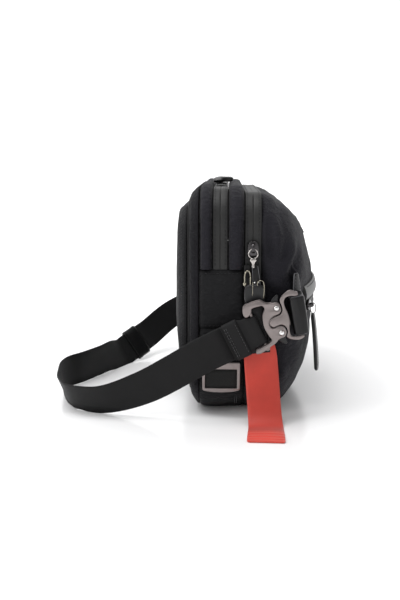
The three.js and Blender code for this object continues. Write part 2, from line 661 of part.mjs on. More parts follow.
// ------------------------------------------------------------------ buckle, on the near end
const FEMALE = [ // x, z
  [-3.7, 102.2], [-3.2, 96.4], [-1.2, 94.4], [1.3, 95.4], [3.2, 98.7], [3.8, 101.8],
  [9.9, 104.1], [12.5, 104.5], [14.2, 103.2], [14.7, 101.0], [13.3, 96.1], [13.6, 90.4],
  [15.4, 84.6], [19.0, 78.4], [21.6, 74.4], [17.2, 70.8], [12.6, 68.1], [8.7, 65.2],
  [8.4, 62.8], [11.7, 62.9], [20.8, 69.3], [24.7, 72.2], [27.6, 75.8], [32.4, 78.3],
  [33.8, 81.2], [33.6, 83.9], [31.9, 86.5], [29.4, 87.5], [27.0, 87.0], [22.7, 85.3],
  [20.3, 86.2], [18.7, 89.5], [19.3, 92.9], [22.1, 95.6], [27.3, 98.1], [28.9, 101.1],
  [28.2, 104.2], [26.2, 107.2], [23.6, 107.7], [18.5, 106.5], [14.6, 107.2], [11.1, 108.9],
  [0.8, 105.8], [-2.2, 104.4]];
const MALE = [ // x, z
  [19.5, 89.6], [20.9, 87.1], [22.8, 86.3], [26.9, 88.0], [29.6, 88.6], [32.5, 87.4],
  [34.5, 84.2], [34.8, 81.2], [33.9, 78.6], [35.9, 76.8], [39.4, 75.7], [45.9, 76.0],
  [49.2, 78.8], [48.2, 79.9], [44.5, 78.9], [39.6, 78.5], [37.6, 79.8], [36.4, 85.2],
  [36.2, 92.8], [34.8, 98.1], [32.1, 104.2], [31.1, 108.6], [32.0, 111.5], [35.7, 113.4],
  [41.2, 113.7], [42.2, 114.9], [39.6, 117.7], [35.5, 118.5], [32.1, 116.5], [28.3, 112.1],
  [27.5, 109.3], [29.0, 105.0], [29.9, 101.0], [28.1, 97.3], [22.8, 94.8], [20.3, 92.4]];

// The outlines below are [u, v]: u along the release direction, v across it.
const RELEASE_DIR = [Math.cos(rad(RELEASE_ANGLE)), Math.sin(rad(RELEASE_ANGLE))];
const RELEASE_ACROSS = [-RELEASE_DIR[1], RELEASE_DIR[0]];
const BUCKLE_CENTRE = [27.3, 92.2]; // x, z
const inBuckle = ([u, v]) => fromCentre(BUCKLE_CENTRE, RELEASE_DIR, RELEASE_ACROSS, u, v);
const LEVER_UPPER = [
  [4.0, 10.2], [3.0, 7.7], [0.4, 7.0], [-5.0, 6.1], [-9.4, 5.2], [-10.4, 6.4],
  [-9.2, 8.4], [-3.4, 10.6], [-2.6, 12.6], [-1.6, 15.0], [-2.4, 17.0], [-0.6, 19.2],
  [3.6, 21.4], [4.6, 20.4], [3.4, 16.5], [3.6, 13.0]];
const LEVER_LOWER = [ // v is mirrored when built
  [4.0, 10.2], [3.0, 7.7], [0.4, 7.0], [-5.0, 6.1], [-9.4, 5.2], [-10.4, 6.4],
  [-9.2, 8.4], [-4.0, 10.6], [-3.6, 12.6], [-3.8, 15.0], [-4.4, 17.0], [-2.8, 19.4],
  [0.4, 22.0], [1.6, 21.2], [1.4, 16.5], [2.4, 13.0]];
const TONGUE_HALF = [
  [8.4, 7.2], [1.0, 4.2], [-5.5, 4.2], [-6.3, 3.4], [-8.2, 3.4], [-8.8, 4.2],
  [-11.2, 3.4], [-12.4, 1.2]];
const LINK_HALF = [[8.4, 6.4], [-6.0, 3.0]];
const bothHalves = (half) => [...half, ...half.map(([u, v]) => [u, -v]).reverse()].map(inBuckle);
const rivetHole = (rivet) => roundHole(...rivet, RIVET_R + 0.35);

function addBar(name, [x0, z0], [x1, z1]) {
  add(name, rod([x0, BAR_Y, z0], [x1, BAR_Y, z1], BAR_R - 0.05), gunmetal);
}

function addFemaleHalf() {
  const halves = [['front', FRONT_PLATE_Y], ['back', BACK_PLATE_Y]];
  for (const [name, [innerY, outerY]] of halves) {
    const holes = [RIVET_UPPER, RIVET_LOWER].map(rivetHole);
    add('buckle_female_' + name, prism(FEMALE, innerY, innerY - outerY, holes), gunmetal);
  }
  addBar('buckle_strap_bar', nearBar(0, 19.4), nearBar(0, -18.6));
  for (const [name, [x, z]] of [['upper', RIVET_UPPER], ['lower', RIVET_LOWER]]) {
    add('rivet_' + name, rod([x, -150.4, z], [x, -141.6, z], RIVET_R, 16), steel);
  }
}

// a lever on each rivet, with a spring ring round the rivet behind it
function addLevers() {
  const levers = [
    ['upper', LEVER_UPPER, 1, RIVET_UPPER],
    ['lower', LEVER_LOWER, -1, RIVET_LOWER]];
  for (const [name, points, side, rivet] of levers) {
    const lever = points.map(([u, v]) => inBuckle([u, v * side]));
    add('lever_' + name, prism(lever, -145.4, 1.8, [rivetHole(rivet)]), darkMetal);
    const ring = roundPoints(14, (cos, sin) =>
      [rivet[0] + 2.9 * cos, -144.75, rivet[1] + 2.9 * sin]);
    add('lever_spring_' + name, wire(ring, 0.32, 6, true), steel);
  }
}

// front plate, joined by a link to a tongue in the middle layer between the levers
function addMaleHalf() {
  const [innerY, outerY] = FRONT_PLATE_Y;
  const lift = 0.02;
  const plate = prism(MALE, innerY + lift, innerY - outerY + lift);
  const tongue = prism(bothHalves(TONGUE_HALF), -144.4, 2.9);
  const link = prism(bothHalves(LINK_HALF), -147.2, 1.0);
  const trimmedLink = combine(link, 'intersect', prism(MALE, -147.0, 3));
  const body = combine(combine(plate, 'add', tongue), 'add', trimmedLink);
  add('buckle_male_plate', body, gunmetal);
  addBar('buckle_tab_bar', [40.6, 115.6], [46.9, 77.7]);
}

// ------------------------------------------------------------------ leather tabs
// near tab: wraps the male bar and runs back to the bag
function addNearTab() {
  const length = 32.2;
  const steps = 14;
  const [start, end] = [rad(150), rad(390)]; // the open side of the roll faces the bag
  const points = [];
  for (let i = 0; i <= steps; i++) {
    const angle = start + (i / steps) * (end - start);
    const reach = Math.cos(angle) < 0 ? 6.2 : 6.8;
    points.push([reach * Math.cos(angle), 4.5 * Math.sin(angle)]);
  }
  points.push([6.6, 6.0], [6.8, 25.4], [-0.6, 17.4], [-4.6, 6.0]); // neck
  const geometry = extrude(points, length, [roundHole(0, 0, BAR_R + BAR_FIT)], 8);
  const mesh = add('near_leather_tab', geometry.translate(0, 0, -length / 2), leather);
  mesh.position.set(43.75, BAR_Y, 96.4);
  mesh.rotation.set(0, rad(-9.4), 0);
}

const PATCH_BASE_Z = 77;
const PATCH = [[PATCH_BASE_Z, 5.4], [86, 6.2], [118, 4.4], [128, 2.4]]; // z, half width

// patches on both sides of the front panel
function addTabPatches() {
  for (const [name, side] of [['near_tab_patch', -1], ['far_tab_patch', 1]]) {
    const at = (run, out, z) => {
      const [x, y] = fromCentre([43.4, 119.2], [0.607, -0.794], [0.794, 0.607], run, out);
      return [x, side * y, z];
    };
    add(name, loft(PATCH.map(([z, half]) => {
      const middle = 4.6 - (z - PATCH_BASE_Z) * 0.15;
      const [rear, front] = [middle - half, middle + half];
      return [at(rear, 0.6, z), at(front, 0.6, z), at(front, 2.0, z), at(rear, 2.0, z)];
    })), leather);
  }
}

// ------------------------------------------------------------------ tag on the near end
const CLASP_Y = -135.2;
const CLASP_BODY = [ // x, z
  [-1.4, 106.4], [0.4, 104.2], [13.2, 104.2], [15.0, 106.4],
  [15.0, 117.2], [13.0, 120.0], [0.6, 120.0], [-1.4, 117.2]];
const CLASP_HOOK = [ // x, z
  [-2.0, 120.6], [-2.0, 128.4], [-1.3, 131.3], [0.4, 132.6], [2.1, 131.4], [2.8, 128.8]];
const CLASP_GATE = [[2.85, 127.5], [2.9, 120.7]]; // x, z
const RIBBON_HEAD = [ // centre x, y, z
  [7.4, -136.6, 103.2], [8.6, -137.5, 92], [10.8, -137.9, 72], [12.6, -138.0, 54.4]];
const RIBBON_TAIL = [ // centre x, y, z
  [12.65, -138.0, 54.0], [14.0, -140.0, 38], [15.6, -146.0, 18], [16.2, -152.0, 6.5],
  [16.6, -158.5, 1.9], [16.9, -168, 1.0], [17.4, -182, 1.0], [17.6, -197, 1.0]];

function addTag() {
  add('tag_anchor_loop', box(-2.6, 3.2, -132.2, -130.6, 126.4, 136.5), webbing);
  add('tag_clasp_body', prism(CLASP_BODY, -133.4, 3.8), darkMetal);
  const inClasp = ([x, z]) => [x, CLASP_Y, z];
  add('tag_clasp_hook', wire(CLASP_HOOK.map(inClasp), 0.65, 8), gold);
  add('tag_clasp_gate', wire(CLASP_GATE.map(inClasp), 0.6, 8), gold);
  const ribbon = (centres, samples) =>
    curvedStrip(centres.map((centre) => [centre, [1, 0, 0]]), 29, 1.2, samples);
  add('tag_ribbon_head', ribbon(RIBBON_HEAD, 10), redCloth);
  add('tag_ribbon_tail', ribbon(RIBBON_TAIL, 20), redCloth);
}

// ------------------------------------------------------------------ assembly
addRear();
addGussets();
addInterior();
addFrontPanel();
addFrontPocket();
addLabelPatch();
addBadge();
addMainSlider();
addFrontSlider();
addPocketSlider();
addBelt();
addFemaleHalf();
addLevers();
addMaleHalf();
addNearTab();
addTabPatches();
addTag();

model.updateMatrixWorld(true);
export default model;
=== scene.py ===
"""A waist bag standing upright on a studio floor, drawn in millimetres and built in metres.

x runs from the wearer's pad (-x) to the bowed front (+x), y from the near end (-y, towards
the camera) to the far end (+y), and z up from the base. The belt leaves the buckle at the
near end, loops out on the -x side and comes back along the far end.
"""
import math
import bpy
import bmesh
import numpy as np
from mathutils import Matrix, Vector
from mathutils.geometry import tessellate_polygon


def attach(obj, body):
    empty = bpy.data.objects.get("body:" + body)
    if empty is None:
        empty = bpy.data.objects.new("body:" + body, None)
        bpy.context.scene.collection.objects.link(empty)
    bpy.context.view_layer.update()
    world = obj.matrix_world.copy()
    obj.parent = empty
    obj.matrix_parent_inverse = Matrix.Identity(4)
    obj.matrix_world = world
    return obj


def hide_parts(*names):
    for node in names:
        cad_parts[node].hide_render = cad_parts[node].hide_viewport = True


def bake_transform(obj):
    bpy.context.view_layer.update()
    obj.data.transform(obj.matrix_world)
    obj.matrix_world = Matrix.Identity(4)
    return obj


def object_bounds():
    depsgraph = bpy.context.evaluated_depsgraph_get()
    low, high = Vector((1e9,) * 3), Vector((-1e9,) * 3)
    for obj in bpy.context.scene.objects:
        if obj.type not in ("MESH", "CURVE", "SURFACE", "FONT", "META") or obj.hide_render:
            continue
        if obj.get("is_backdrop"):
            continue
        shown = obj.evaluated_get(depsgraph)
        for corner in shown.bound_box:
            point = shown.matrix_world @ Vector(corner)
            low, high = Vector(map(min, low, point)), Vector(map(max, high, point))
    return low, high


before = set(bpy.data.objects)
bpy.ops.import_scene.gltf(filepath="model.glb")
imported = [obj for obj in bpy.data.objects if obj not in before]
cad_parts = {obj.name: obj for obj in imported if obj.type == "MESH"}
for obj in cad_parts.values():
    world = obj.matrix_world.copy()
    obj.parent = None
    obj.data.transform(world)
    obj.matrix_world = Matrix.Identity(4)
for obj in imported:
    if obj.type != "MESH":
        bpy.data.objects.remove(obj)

cad_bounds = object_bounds()
scene = bpy.context.scene
MM = 0.001
DEG = math.pi / 180

# ---------------------------------------------------------------- driving dimensions, mm
HALF_W = 130.0
TOP_REAR, TOP_MAIN_ZIP, TOP_MID, TOP_FRONT_ZIP = 204.8, 203.0, 203.8, 199.4
R_FRONT, R_TOP, R_BASE = 300.0, 30.0, 32.0      # bow of the front, top and base corners
SIDE_SEAM_Z, LOW_SEAM_Z, FRONT_ZIP_END_Z = 132.6, 80.0, 100.0
REAR_X0, REAR_X1 = -41.7, -29.9                 # rear gusset strip
MID_X0, MID_X1 = -16.7, -2.2                    # middle gusset strip
FRONT_X0, FRONT_X1 = -1.9, 12.2                 # front zip and its base
MAIN_ZIP_X, FRONT_ZIP_X = -23.3, 5.2            # middle of each coil
TAPE_GAP = 0.06                                 # from the middle of a coil to its tape
FRONT_TIP_X = 68.7
FRONT_CX = FRONT_TIP_X - R_FRONT                # axis of the bowed front


# ---------------------------------------------------------------- numeric helpers
def points(*columns):
    """broadcasts the columns together and stacks them on a last axis"""
    return np.stack(np.broadcast_arrays(*columns), -1)


def unit(v):
    v = np.asarray(v, float)
    return v / np.maximum(np.linalg.norm(v, axis=-1, keepdims=True), 1e-12)


def tangents(path):
    return unit(np.gradient(path, axis=0))


def smooth01(t):
    t = np.clip(t, 0, 1)
    return t * t * (3 - 2 * t)


def between(value, low, high, fade):
    """1 inside low..high, fading to 0 at both limits"""
    return smooth01((value - low) / fade) * smooth01((high - value) / fade)


def bell(value, centre, width):
    return np.exp(-((value - centre) / width) ** 2)


def value_noise(at, seed=0):
    """smooth noise in -1..1 between hashed lattice values"""
    at = np.asarray(at, float)
    cell = np.floor(at).astype(np.int64)
    frac = at - cell
    ease = frac * frac * (3 - 2 * frac)

    def lattice(i, j, k):
        n = (i * 374761393 + j * 668265263 + k * 362437 + seed * 1274126177) & 0xFFFFFFFF
        n = ((n ^ (n >> 13)) * 1274126177) & 0xFFFFFFFF
        n = n ^ (n >> 16)
        return (n & 0xFFFF) / 32767.5 - 1.0

    total = 0
    for corner in np.ndindex(2, 2, 2):
        weight = np.prod(np.where(corner, ease, 1 - ease), -1)
        total = total + weight * lattice(*np.moveaxis(cell + corner, -1, 0))
    return total


def fbm(at, seed=0, octaves=3):
    """layers of value noise, each finer and half as strong"""
    at = np.asarray(at, float)
    total, strength, scale = 0, 1.0, 1.0
    for octave in range(octaves):
        total = total + strength * value_noise(at * scale + 17.3 * octave, seed + octave)
        strength *= 0.5
        scale *= 2.03
    return total


def pchip(xs, ys, x):
    """monotone cubic through (xs, ys)"""
    step, slope = np.diff(xs), np.diff(ys) / np.diff(xs)
    m = np.zeros(len(xs))
    for i in range(1, len(xs) - 1):
        if slope[i - 1] * slope[i] > 0:
            w1, w2 = 2 * step[i] + step[i - 1], step[i] + 2 * step[i - 1]
            m[i] = (w1 + w2) / (w1 / slope[i - 1] + w2 / slope[i])
    m[0], m[-1] = slope[0], slope[-1]
    k = np.clip(np.searchsorted(xs, x) - 1, 0, len(xs) - 2)
    t = (x - xs[k]) / step[k]
    return ((1 + 2 * t) * (1 - t) ** 2 * ys[k] + t * (1 - t) ** 2 * step[k] * m[k]
            + t * t * (3 - 2 * t) * ys[k + 1] + t * t * (t - 1) * step[k] * m[k + 1])


def catmull_rom(p0, p1, p2, p3, w):
    """centripetal curve from p1 (w = 0) to p2 (w = 1)"""
    d0, d1, d2 = [max(np.linalg.norm(b - a), 1e-6) ** 0.5
                  for a, b in ((p0, p1), (p1, p2), (p2, p3))]
    t1 = ((p1 - p0) / d0 - (p2 - p0) / (d0 + d1) + (p2 - p1) / d1) * d1
    t2 = ((p2 - p1) / d1 - (p3 - p1) / (d1 + d2) + (p3 - p2) / d2) * d1
    return (p1 + t1 * w + (-3 * p1 + 3 * p2 - 2 * t1 - t2) * w * w
            + (2 * p1 - 2 * p2 + t1 + t2) * w ** 3)


def spline(controls, count, start=0.0):
    """open curve through the controls, count points even by control number"""
    ctl = np.asarray(controls, float)
    last = len(ctl) - 1
    ctl = np.concatenate([[2 * ctl[0] - ctl[1]], ctl, [2 * ctl[-1] - ctl[-2]]])
    out = []
    for place_on in np.linspace(start, 1, count) * last:
        i = min(int(place_on), last - 1)
        out.append(catmull_rom(*ctl[i:i + 4], place_on - i))
    return np.array(out)


def run_length(path):
    """distance along a polyline, at each of its points"""
    return np.concatenate([[0], np.cumsum(np.linalg.norm(np.diff(path, axis=0), axis=1))])


def resample(path, at, run):
    return np.stack([np.interp(at, run, column) for column in path.T], 1)


def closed_smooth(outline, spacing=0.55):
    """closed curve through an outline, resampled evenly"""
    outline = np.asarray(outline, float)
    dense = [catmull_rom(*outline.take(range(i - 1, i + 3), axis=0, mode="wrap"), w)
             for i in range(len(outline)) for w in np.linspace(0, 1, 12, endpoint=False)]
    dense = np.array(dense + [dense[0]])
    run = run_length(dense)
    count = max(int(run[-1] / spacing), 12)
    return resample(dense, np.linspace(0, run[-1], count, endpoint=False), run)


def signed_area(loop):
    x, y = loop[:, 0], loop[:, 1]
    return 0.5 * np.sum(x * np.roll(y, -1) - np.roll(x, -1) * y)


def loop_normals(loop):
    """outward for a counter-clockwise loop, into the hole for a clockwise one"""
    along = unit(np.roll(loop, -1, 0) - np.roll(loop, 1, 0))
    return np.stack([along[:, 1], -along[:, 0]], 1)


def local_frame(origin, x_axis, y_axis, z_axis):
    """function that carries local points into the bag's frame"""
    origin = np.array(origin, float)
    axes = np.array([x_axis, y_axis, z_axis], float)
    return lambda v: origin + np.asarray(v, float) @ axes


# ---------------------------------------------------------------- mesh helpers
RISING = ("rear_band", "rear_seam", "rear_panel", "base_gusset", "front_base",
          "front_panel", "side_panel")


def rise(verts):
    """the bottom corners of the bag lift off the ground, more so at the front"""
    verts = np.array(verts, float)
    x, y, z = verts.T
    lift = (3.2 + 5.4 * smooth01((x + 42) / 52)) * (1 - 0.45 * smooth01((x - 12) / 25))
    verts[:, 2] = z + lift * smooth01((np.abs(y) - 93) / 19) * smooth01((64 - z) / 64)
    return verts


def add_object(name, data):
    ob = bpy.data.objects.new(name, data)
    scene.collection.objects.link(ob)
    return ob


def face_outward(mesh):
    bm = bmesh.new()
    bm.from_mesh(mesh)
    bmesh.ops.recalc_face_normals(bm, faces=bm.faces[:])
    bm.to_mesh(mesh)
    bm.free()


def mesh_obj(name, verts, faces, mat, uv=None, angle=45, outward=True):
    """smooth-shaded mesh, sharp above `angle` degrees; verts and uv in mm"""
    verts = np.reshape(verts, (-1, 3))
    if name.startswith(RISING):
        verts = rise(verts)
    mesh = bpy.data.meshes.new(name)
    mesh.from_pydata((verts * MM).tolist(), [], faces)
    mesh.update()
    if uv is not None:
        uv = np.reshape(uv, (-1, 2)) * MM * 10
        layer = mesh.uv_layers.new(name="UVMap")
        index = np.zeros(len(mesh.loops), np.int32)
        mesh.loops.foreach_get("vertex_index", index)
        layer.data.foreach_set("uv", uv.astype(np.float32)[index].ravel())
    if outward:
        face_outward(mesh)
    mesh.polygons.foreach_set("use_smooth", np.ones(len(mesh.polygons), bool))
    mesh.set_sharp_from_angle(angle=angle * DEG)
    mesh.materials.append(MATS[mat])
    mesh.update()
    return add_object(name, mesh)


def subdivided(ob):
    sub = ob.modifiers.new("sub", "SUBSURF")
    sub.levels = sub.render_levels = 1
    return ob


def place(ob, body, slot, *nodes):
    """what the piece moves with, its material slot (not used) and the CAD nodes it replaces"""
    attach(ob, body)
    if nodes:
        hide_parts(*nodes)
    return ob


def grid_faces(rows, n, wrap_rows=False, wrap=True, caps=True):
    """quads between rows of n points; wrap closes each row, caps fill the end rows"""
    faces = []
    for i in range(rows if wrap_rows else rows - 1):
        i2 = (i + 1) % rows
        for j in range(n if wrap else n - 1):
            j2 = (j + 1) % n
            faces.append((i * n + j, i * n + j2, i2 * n + j2, i2 * n + j))
    if caps and wrap and not wrap_rows:
        faces.append(tuple(range(n - 1, -1, -1)))
        faces.append(tuple(range((rows - 1) * n, rows * n)))
    return faces


def grid_mesh(name, rings, mat, angle=45, uv=None, wrap_rows=False):
    rings = np.asarray(rings)
    return mesh_obj(name, rings, grid_faces(*rings.shape[:2], wrap_rows), mat, uv, angle)


def grid_normals(rings):
    """outward normals of a grid of rings that run towards +x"""
    between_rings = np.gradient(rings, axis=0)
    along_ring = np.roll(rings, -1, 1) - np.roll(rings, 1, 1)
    return unit(np.cross(along_ring, between_rings))


def skins(top, bottom):
    """rows that go out over the top skin and back under the bottom one"""
    return np.concatenate([top, bottom[:, ::-1]], 1)


def sweep_parts(path, axis_a, axis_b, section, closed=False):
    """vertices, faces and uv of a section (a, b), or one per station, along a path"""
    path, section = np.asarray(path, float), np.asarray(section, float)
    axis_a, axis_b = np.broadcast_to(axis_a, path.shape), np.broadcast_to(axis_b, path.shape)
    section = np.broadcast_to(section, (len(path),) + section.shape[-2:])
    verts = (path[:, None] + section[..., :1] * axis_a[:, None]
             + section[..., 1:] * axis_b[:, None])
    uv = points(run_length(path)[:, None], run_length(section[0]))
    faces = grid_faces(*verts.shape[:2], wrap_rows=closed)
    return verts.reshape(-1, 3), faces, uv.reshape(-1, 2)


def sweep(name, path, axis_a, axis_b, section, mat, angle=45, closed=False, move=None):
    verts, faces, uv = sweep_parts(path, axis_a, axis_b, section, closed)
    if move:
        verts = move(verts)
    return mesh_obj(name, verts, faces, mat, uv, angle)


def flat_section(half_w, half_t, count=15, power=8, selvedge=0.0):
    """flattened oval, squarer with power; a selvedge is a ridge near both edges"""
    a = half_w * np.sin(np.linspace(-1, 1, count) * math.pi / 2)
    b = half_t * np.power(np.clip(1 - np.abs(a / half_w) ** power, 0, 1), 0.5)
    b = b + selvedge * bell(np.abs(a), half_w - 1.7, 0.7) * (np.abs(a) < half_w * 0.9999)
    return np.concatenate([points(a, b), points(a, -b)[::-1][1:-1]])


def round_section(sides, radii):
    """circles of the given radii, one per station"""
    t = np.linspace(0, 2 * math.pi, sides, endpoint=False)
    return points(np.cos(t), np.sin(t)) * np.asarray(radii)[:, None, None]


def cross_axes(path, closed=False):
    """a steady pair of axes across a polyline"""
    if closed:
        along = unit(np.roll(path, -1, 0) - np.roll(path, 1, 0))
    else:
        along = tangents(path)
    side = np.array([1.0, 0, 0] if abs(along[0][0]) < 0.8 else [0, 1.0, 0])
    sides = []
    for t in along:
        side = unit(side - t * np.dot(side, t))
        sides.append(side)
    return np.array(sides), np.cross(along, sides)


def wire(name, path, radius, mat, sides=10, closed=False):
    section = round_section(sides, np.broadcast_to(radius, len(path)))
    return sweep(name, path, *cross_axes(path, closed), section, mat, 50, closed)


def rod(name, path, radius, mat, sides=10):
    """wire with rounded tips"""
    path = np.asarray(path, float)
    turn = np.linspace(math.pi / 2, 0.15, 4)
    out = (radius * np.sin(turn))[:, None]
    shrink = radius * np.cos(turn) + 0.02
    head = path[0] + unit(path[0] - path[1]) * out
    tail = path[-1] + unit(path[-1] - path[-2]) * out[::-1]
    radii = np.concatenate([shrink, np.full(len(path), radius), shrink[::-1]])
    return wire(name, np.concatenate([head, path, tail]), radii, mat, sides)


STITCH_LIFT = np.array([-0.28, 0.08, 0.17, 0.08, -0.28])
STITCH_TAPER = np.array([0.55, 1, 1.05, 1, 0.55])


def stitches(name, rows, mat, body, slot, length=2.3, gap=1.1, radius=0.3):
    """rows of (points, normals); each stitch is a short bent thread lying in the cloth"""
    verts, faces, uvs, offset = [], [], [], 0
    for path, normals in rows:
        path = np.asarray(path, float)
        normals = np.broadcast_to(np.asarray(normals, float), path.shape)
        run = run_length(path)
        step = length + gap
        count = max(int((run[-1] - gap) / step), 1)
        start = (run[-1] - count * step + gap) / 2
        for i in range(count):
            at = start + i * step + np.linspace(0, length, 5)
            normal = unit(resample(normals, at, run))
            thread = resample(path, at, run) + normal * STITCH_LIFT[:, None]
            along = tangents(thread)
            side = unit(np.cross(along, normal))
            v, f, uv = sweep_parts(thread, side, np.cross(side, along),
                                   round_section(6, STITCH_TAPER * radius))
            verts.append(v)
            uvs.append(uv)
            faces += [tuple(k + offset for k in face) for face in f]
            offset += len(v)
    ob = mesh_obj(name, np.concatenate(verts), faces, mat, np.concatenate(uvs), 60)
    return place(ob, body, slot)


def extrude_loops(loops, profile):
    """solid from an outer loop and its holes in x, z; profile of (inset, y)"""
    verts, faces = [], []
    ends = {0: [], len(profile) - 1: []}
    base = 0
    for loop in loops:
        normals, n = loop_normals(loop), len(loop)
        for i, (inset, y) in enumerate(profile):
            ring = loop - normals * inset
            verts.append(points(ring[:, 0], y, ring[:, 1]))
            if i in ends:
                ends[i].append((base + i * n, ring))
        faces += [tuple(k + base for k in face)
                  for face in grid_faces(len(profile), n, caps=False)]
        base += n * len(profile)
    for group in ends.values():
        ids = np.concatenate([start + np.arange(len(ring)) for start, ring in group])
        flat = [[Vector((x, z, 0)) for x, z in ring] for _, ring in group]
        faces += [tuple(int(ids[k]) for k in tri) for tri in tessellate_polygon(flat)]
    return np.concatenate(verts), faces


def plate(name, outline, y_back, y_front, mat, bevel, holes=(), steps=3, move=None):
    """bevelled plate: outline in (x, z), y_front is the lower y; holes of (x, z, radius)"""
    loops = [closed_smooth(outline)]
    if signed_area(loops[0]) < 0:
        loops[0] = loops[0][::-1]
    turn = np.linspace(0, 2 * math.pi, 28, endpoint=False)[::-1]
    for x, z, radius in holes:
        loops.append(points(x + radius * np.cos(turn), z + radius * np.sin(turn)))
    inset = [(bevel * (1 - math.sin(t)), bevel * (1 - math.cos(t)))
             for t in np.linspace(0, math.pi / 2, steps + 1)]
    profile = [(d, y_front + h) for d, h in inset] + [(d, y_back - h) for d, h in inset[::-1]]
    verts, faces = extrude_loops(loops, profile)
    if move:
        verts = move(verts)
    return mesh_obj(name, verts, faces, mat, verts[:, [0, 2]], 35)


def lathe(name, centre, axis, profile, mat, sides=28):
    """profile of (radius, height along the axis)"""
    centre, axis = np.asarray(centre, float), unit(axis)
    side_a, side_b = cross_axes(np.array([centre, centre + axis]))
    t = np.linspace(0, 2 * math.pi, sides, endpoint=False)
    circle = np.outer(np.cos(t), side_a[0]) + np.outer(np.sin(t), side_b[0])
    return grid_mesh(name, [centre + axis * h + circle * r for r, h in profile], mat, 40)


# ---------------------------------------------------------------- shader helpers
class Nodes:
    """adds nodes to a tree"""

    def __init__(self, tree):
        self.tree = tree

    def add(self, kind, inputs, **settings):
        """inputs: socket name or number -> a value, or an output to link from"""
        node = self.tree.nodes.new("ShaderNode" + kind)
        for key, value in settings.items():
            setattr(node, key, value)
        for key, value in inputs.items():
            if isinstance(value, bpy.types.NodeSocket):
                self.tree.links.new(value, node.inputs[key])
            else:
                node.inputs[key].default_value = value
        return node

    def map_range(self, value, to, source=(0.0, 1.0)):
        ends = {"From Min": source[0], "From Max": source[1], "To Min": to[0], "To Max": to[1]}
        return self.add("MapRange", {"Value": value, **ends}).outputs["Result"]


class Shader(Nodes):
    """a material built round its Principled node"""

    def __init__(self, name, color, rough, metal=0.0):
        self.material = bpy.data.materials.new(name)
        self.material.use_nodes = True
        self.material.diffuse_color = (*color, 1)
        super().__init__(self.material.node_tree)
        self.surface = self.tree.nodes["Principled BSDF"].inputs
        self.color, self.rough = color, rough
        self.set(Base_Color=(*color, 1), Roughness=rough, Metallic=metal)

    def set(self, **inputs):
        for key, value in inputs.items():
            self.surface[key.replace("_", " ")].default_value = value

    def link(self, output, name):
        self.tree.links.new(output, self.surface[name])

    def coords(self, kind="Object", scale=(1, 1, 1)):
        source = self.add("TexCoord", {}).outputs[kind]
        return self.add("Mapping", dict(Vector=source, Scale=scale)).outputs["Vector"]

    def split(self, vector):
        return self.add("SeparateXYZ", {0: vector}).outputs

    def noise(self, vector, **inputs):
        return self.add("TexNoise", dict(inputs, Vector=vector)).outputs["Fac"]

    def math(self, operation, *values):
        return self.add("Math", dict(enumerate(values)), operation=operation).outputs[0]

    def wave(self, value, frequency):
        return self.math("SINE", self.math("MULTIPLY", value, frequency))

    def multiply_color(self, factor, color_a, color_b):
        return self.add("Mix", {0: factor, 6: color_a, 7: color_b},
                        data_type="RGBA", blend_type="MULTIPLY").outputs[2]

    def mottle(self, vector, amount, scale, rough_spread):
        """slow changes of colour and roughness; returns the colour"""
        blotch = self.noise(vector, Scale=scale, Detail=4.0, Roughness=0.6)
        ramp = self.add("ValToRGB", dict(Fac=blotch))
        low, high = ramp.color_ramp.elements
        low.position, high.position = 0.3, 0.7
        low.color = (*[c * (1 - amount) for c in self.color], 1)
        high.color = (*[min(c * (1 + amount), 1) for c in self.color], 1)
        self.link(ramp.outputs["Color"], "Base Color")
        spread = (self.rough - rough_spread, self.rough + rough_spread)
        self.link(self.map_range(blotch, spread), "Roughness")
        return ramp.outputs["Color"]

    def weave(self, vector, period):
        """plain weave height from three sines of the coordinates (metres)"""
        sines = [self.wave(out, 2 * math.pi / period) for out in self.split(vector)]
        xy, yz, xz = [self.math("MULTIPLY", sines[i], sines[j])
                      for i, j in ((0, 1), (1, 2), (0, 2))]
        return self.math("ADD", self.math("ADD", xy, yz), xz)

    def bump(self, height, strength, distance):
        """adds relief over whatever relief is already there"""
        inputs = dict(Strength=strength, Distance=distance, Height=height)
        if self.surface["Normal"].links:
            inputs["Normal"] = self.surface["Normal"].links[0].from_socket
        self.link(self.add("Bump", inputs).outputs["Normal"], "Normal")

    def paint_occlusion_shade(self, distance, low=0.25, power=1.6):
        """paints ambient-occlusion shade into the colour of seams and folds, and dulls their
        highlights
        """
        open_sky = self.add("AmbientOcclusion", dict(Distance=distance), samples=3).outputs["AO"]
        shade = self.map_range(self.math("POWER", open_sky, power), (low, 1.06))
        color = self.surface["Base Color"].links[0].from_socket
        self.link(self.multiply_color(1.0, color, shade), "Base Color")
        level = self.surface["Specular IOR Level"].default_value
        self.link(self.math("MULTIPLY", shade, level), "Specular IOR Level")


# ---------------------------------------------------------------- materials
def fabric(name, color, rough, period, strength, sheen, spec=0.35, occlusion_shade_reach=0.009, power=1.6):
    """woven cloth; period is the thread spacing in metres"""
    s = Shader(name, color, rough)
    at = s.coords()
    mottled = s.mottle(at, amount=0.12, scale=26.0, rough_spread=0.05)
    weave = s.weave(at, period)
    fuzz = s.noise(at, Scale=900.0, Detail=2.0)
    # painted light and shade of the weave: raised threads lighter, the gaps between them darker
    weave_shade = s.map_range(weave, to=(0.62, 1.2), source=(-1.2, 1.2))
    s.link(s.multiply_color(0.55, mottled, weave_shade), "Base Color")
    s.bump(weave, strength, distance=0.0002)
    s.bump(fuzz, strength * 0.6, distance=0.0003)
    creases = s.noise(s.coords(scale=(1.0, 1.0, 1.9)),
                      Scale=95.0, Detail=4.0, Roughness=0.6, Distortion=0.8)
    s.bump(creases, strength=0.8, distance=0.0022)
    s.set(Sheen_Weight=sheen, Sheen_Roughness=0.45, Specular_IOR_Level=spec)
    # painted shade: ambient occlusion darkens the colour in seams and folds
    s.paint_occlusion_shade(occlusion_shade_reach, low=0.2, power=power)
    return s.material


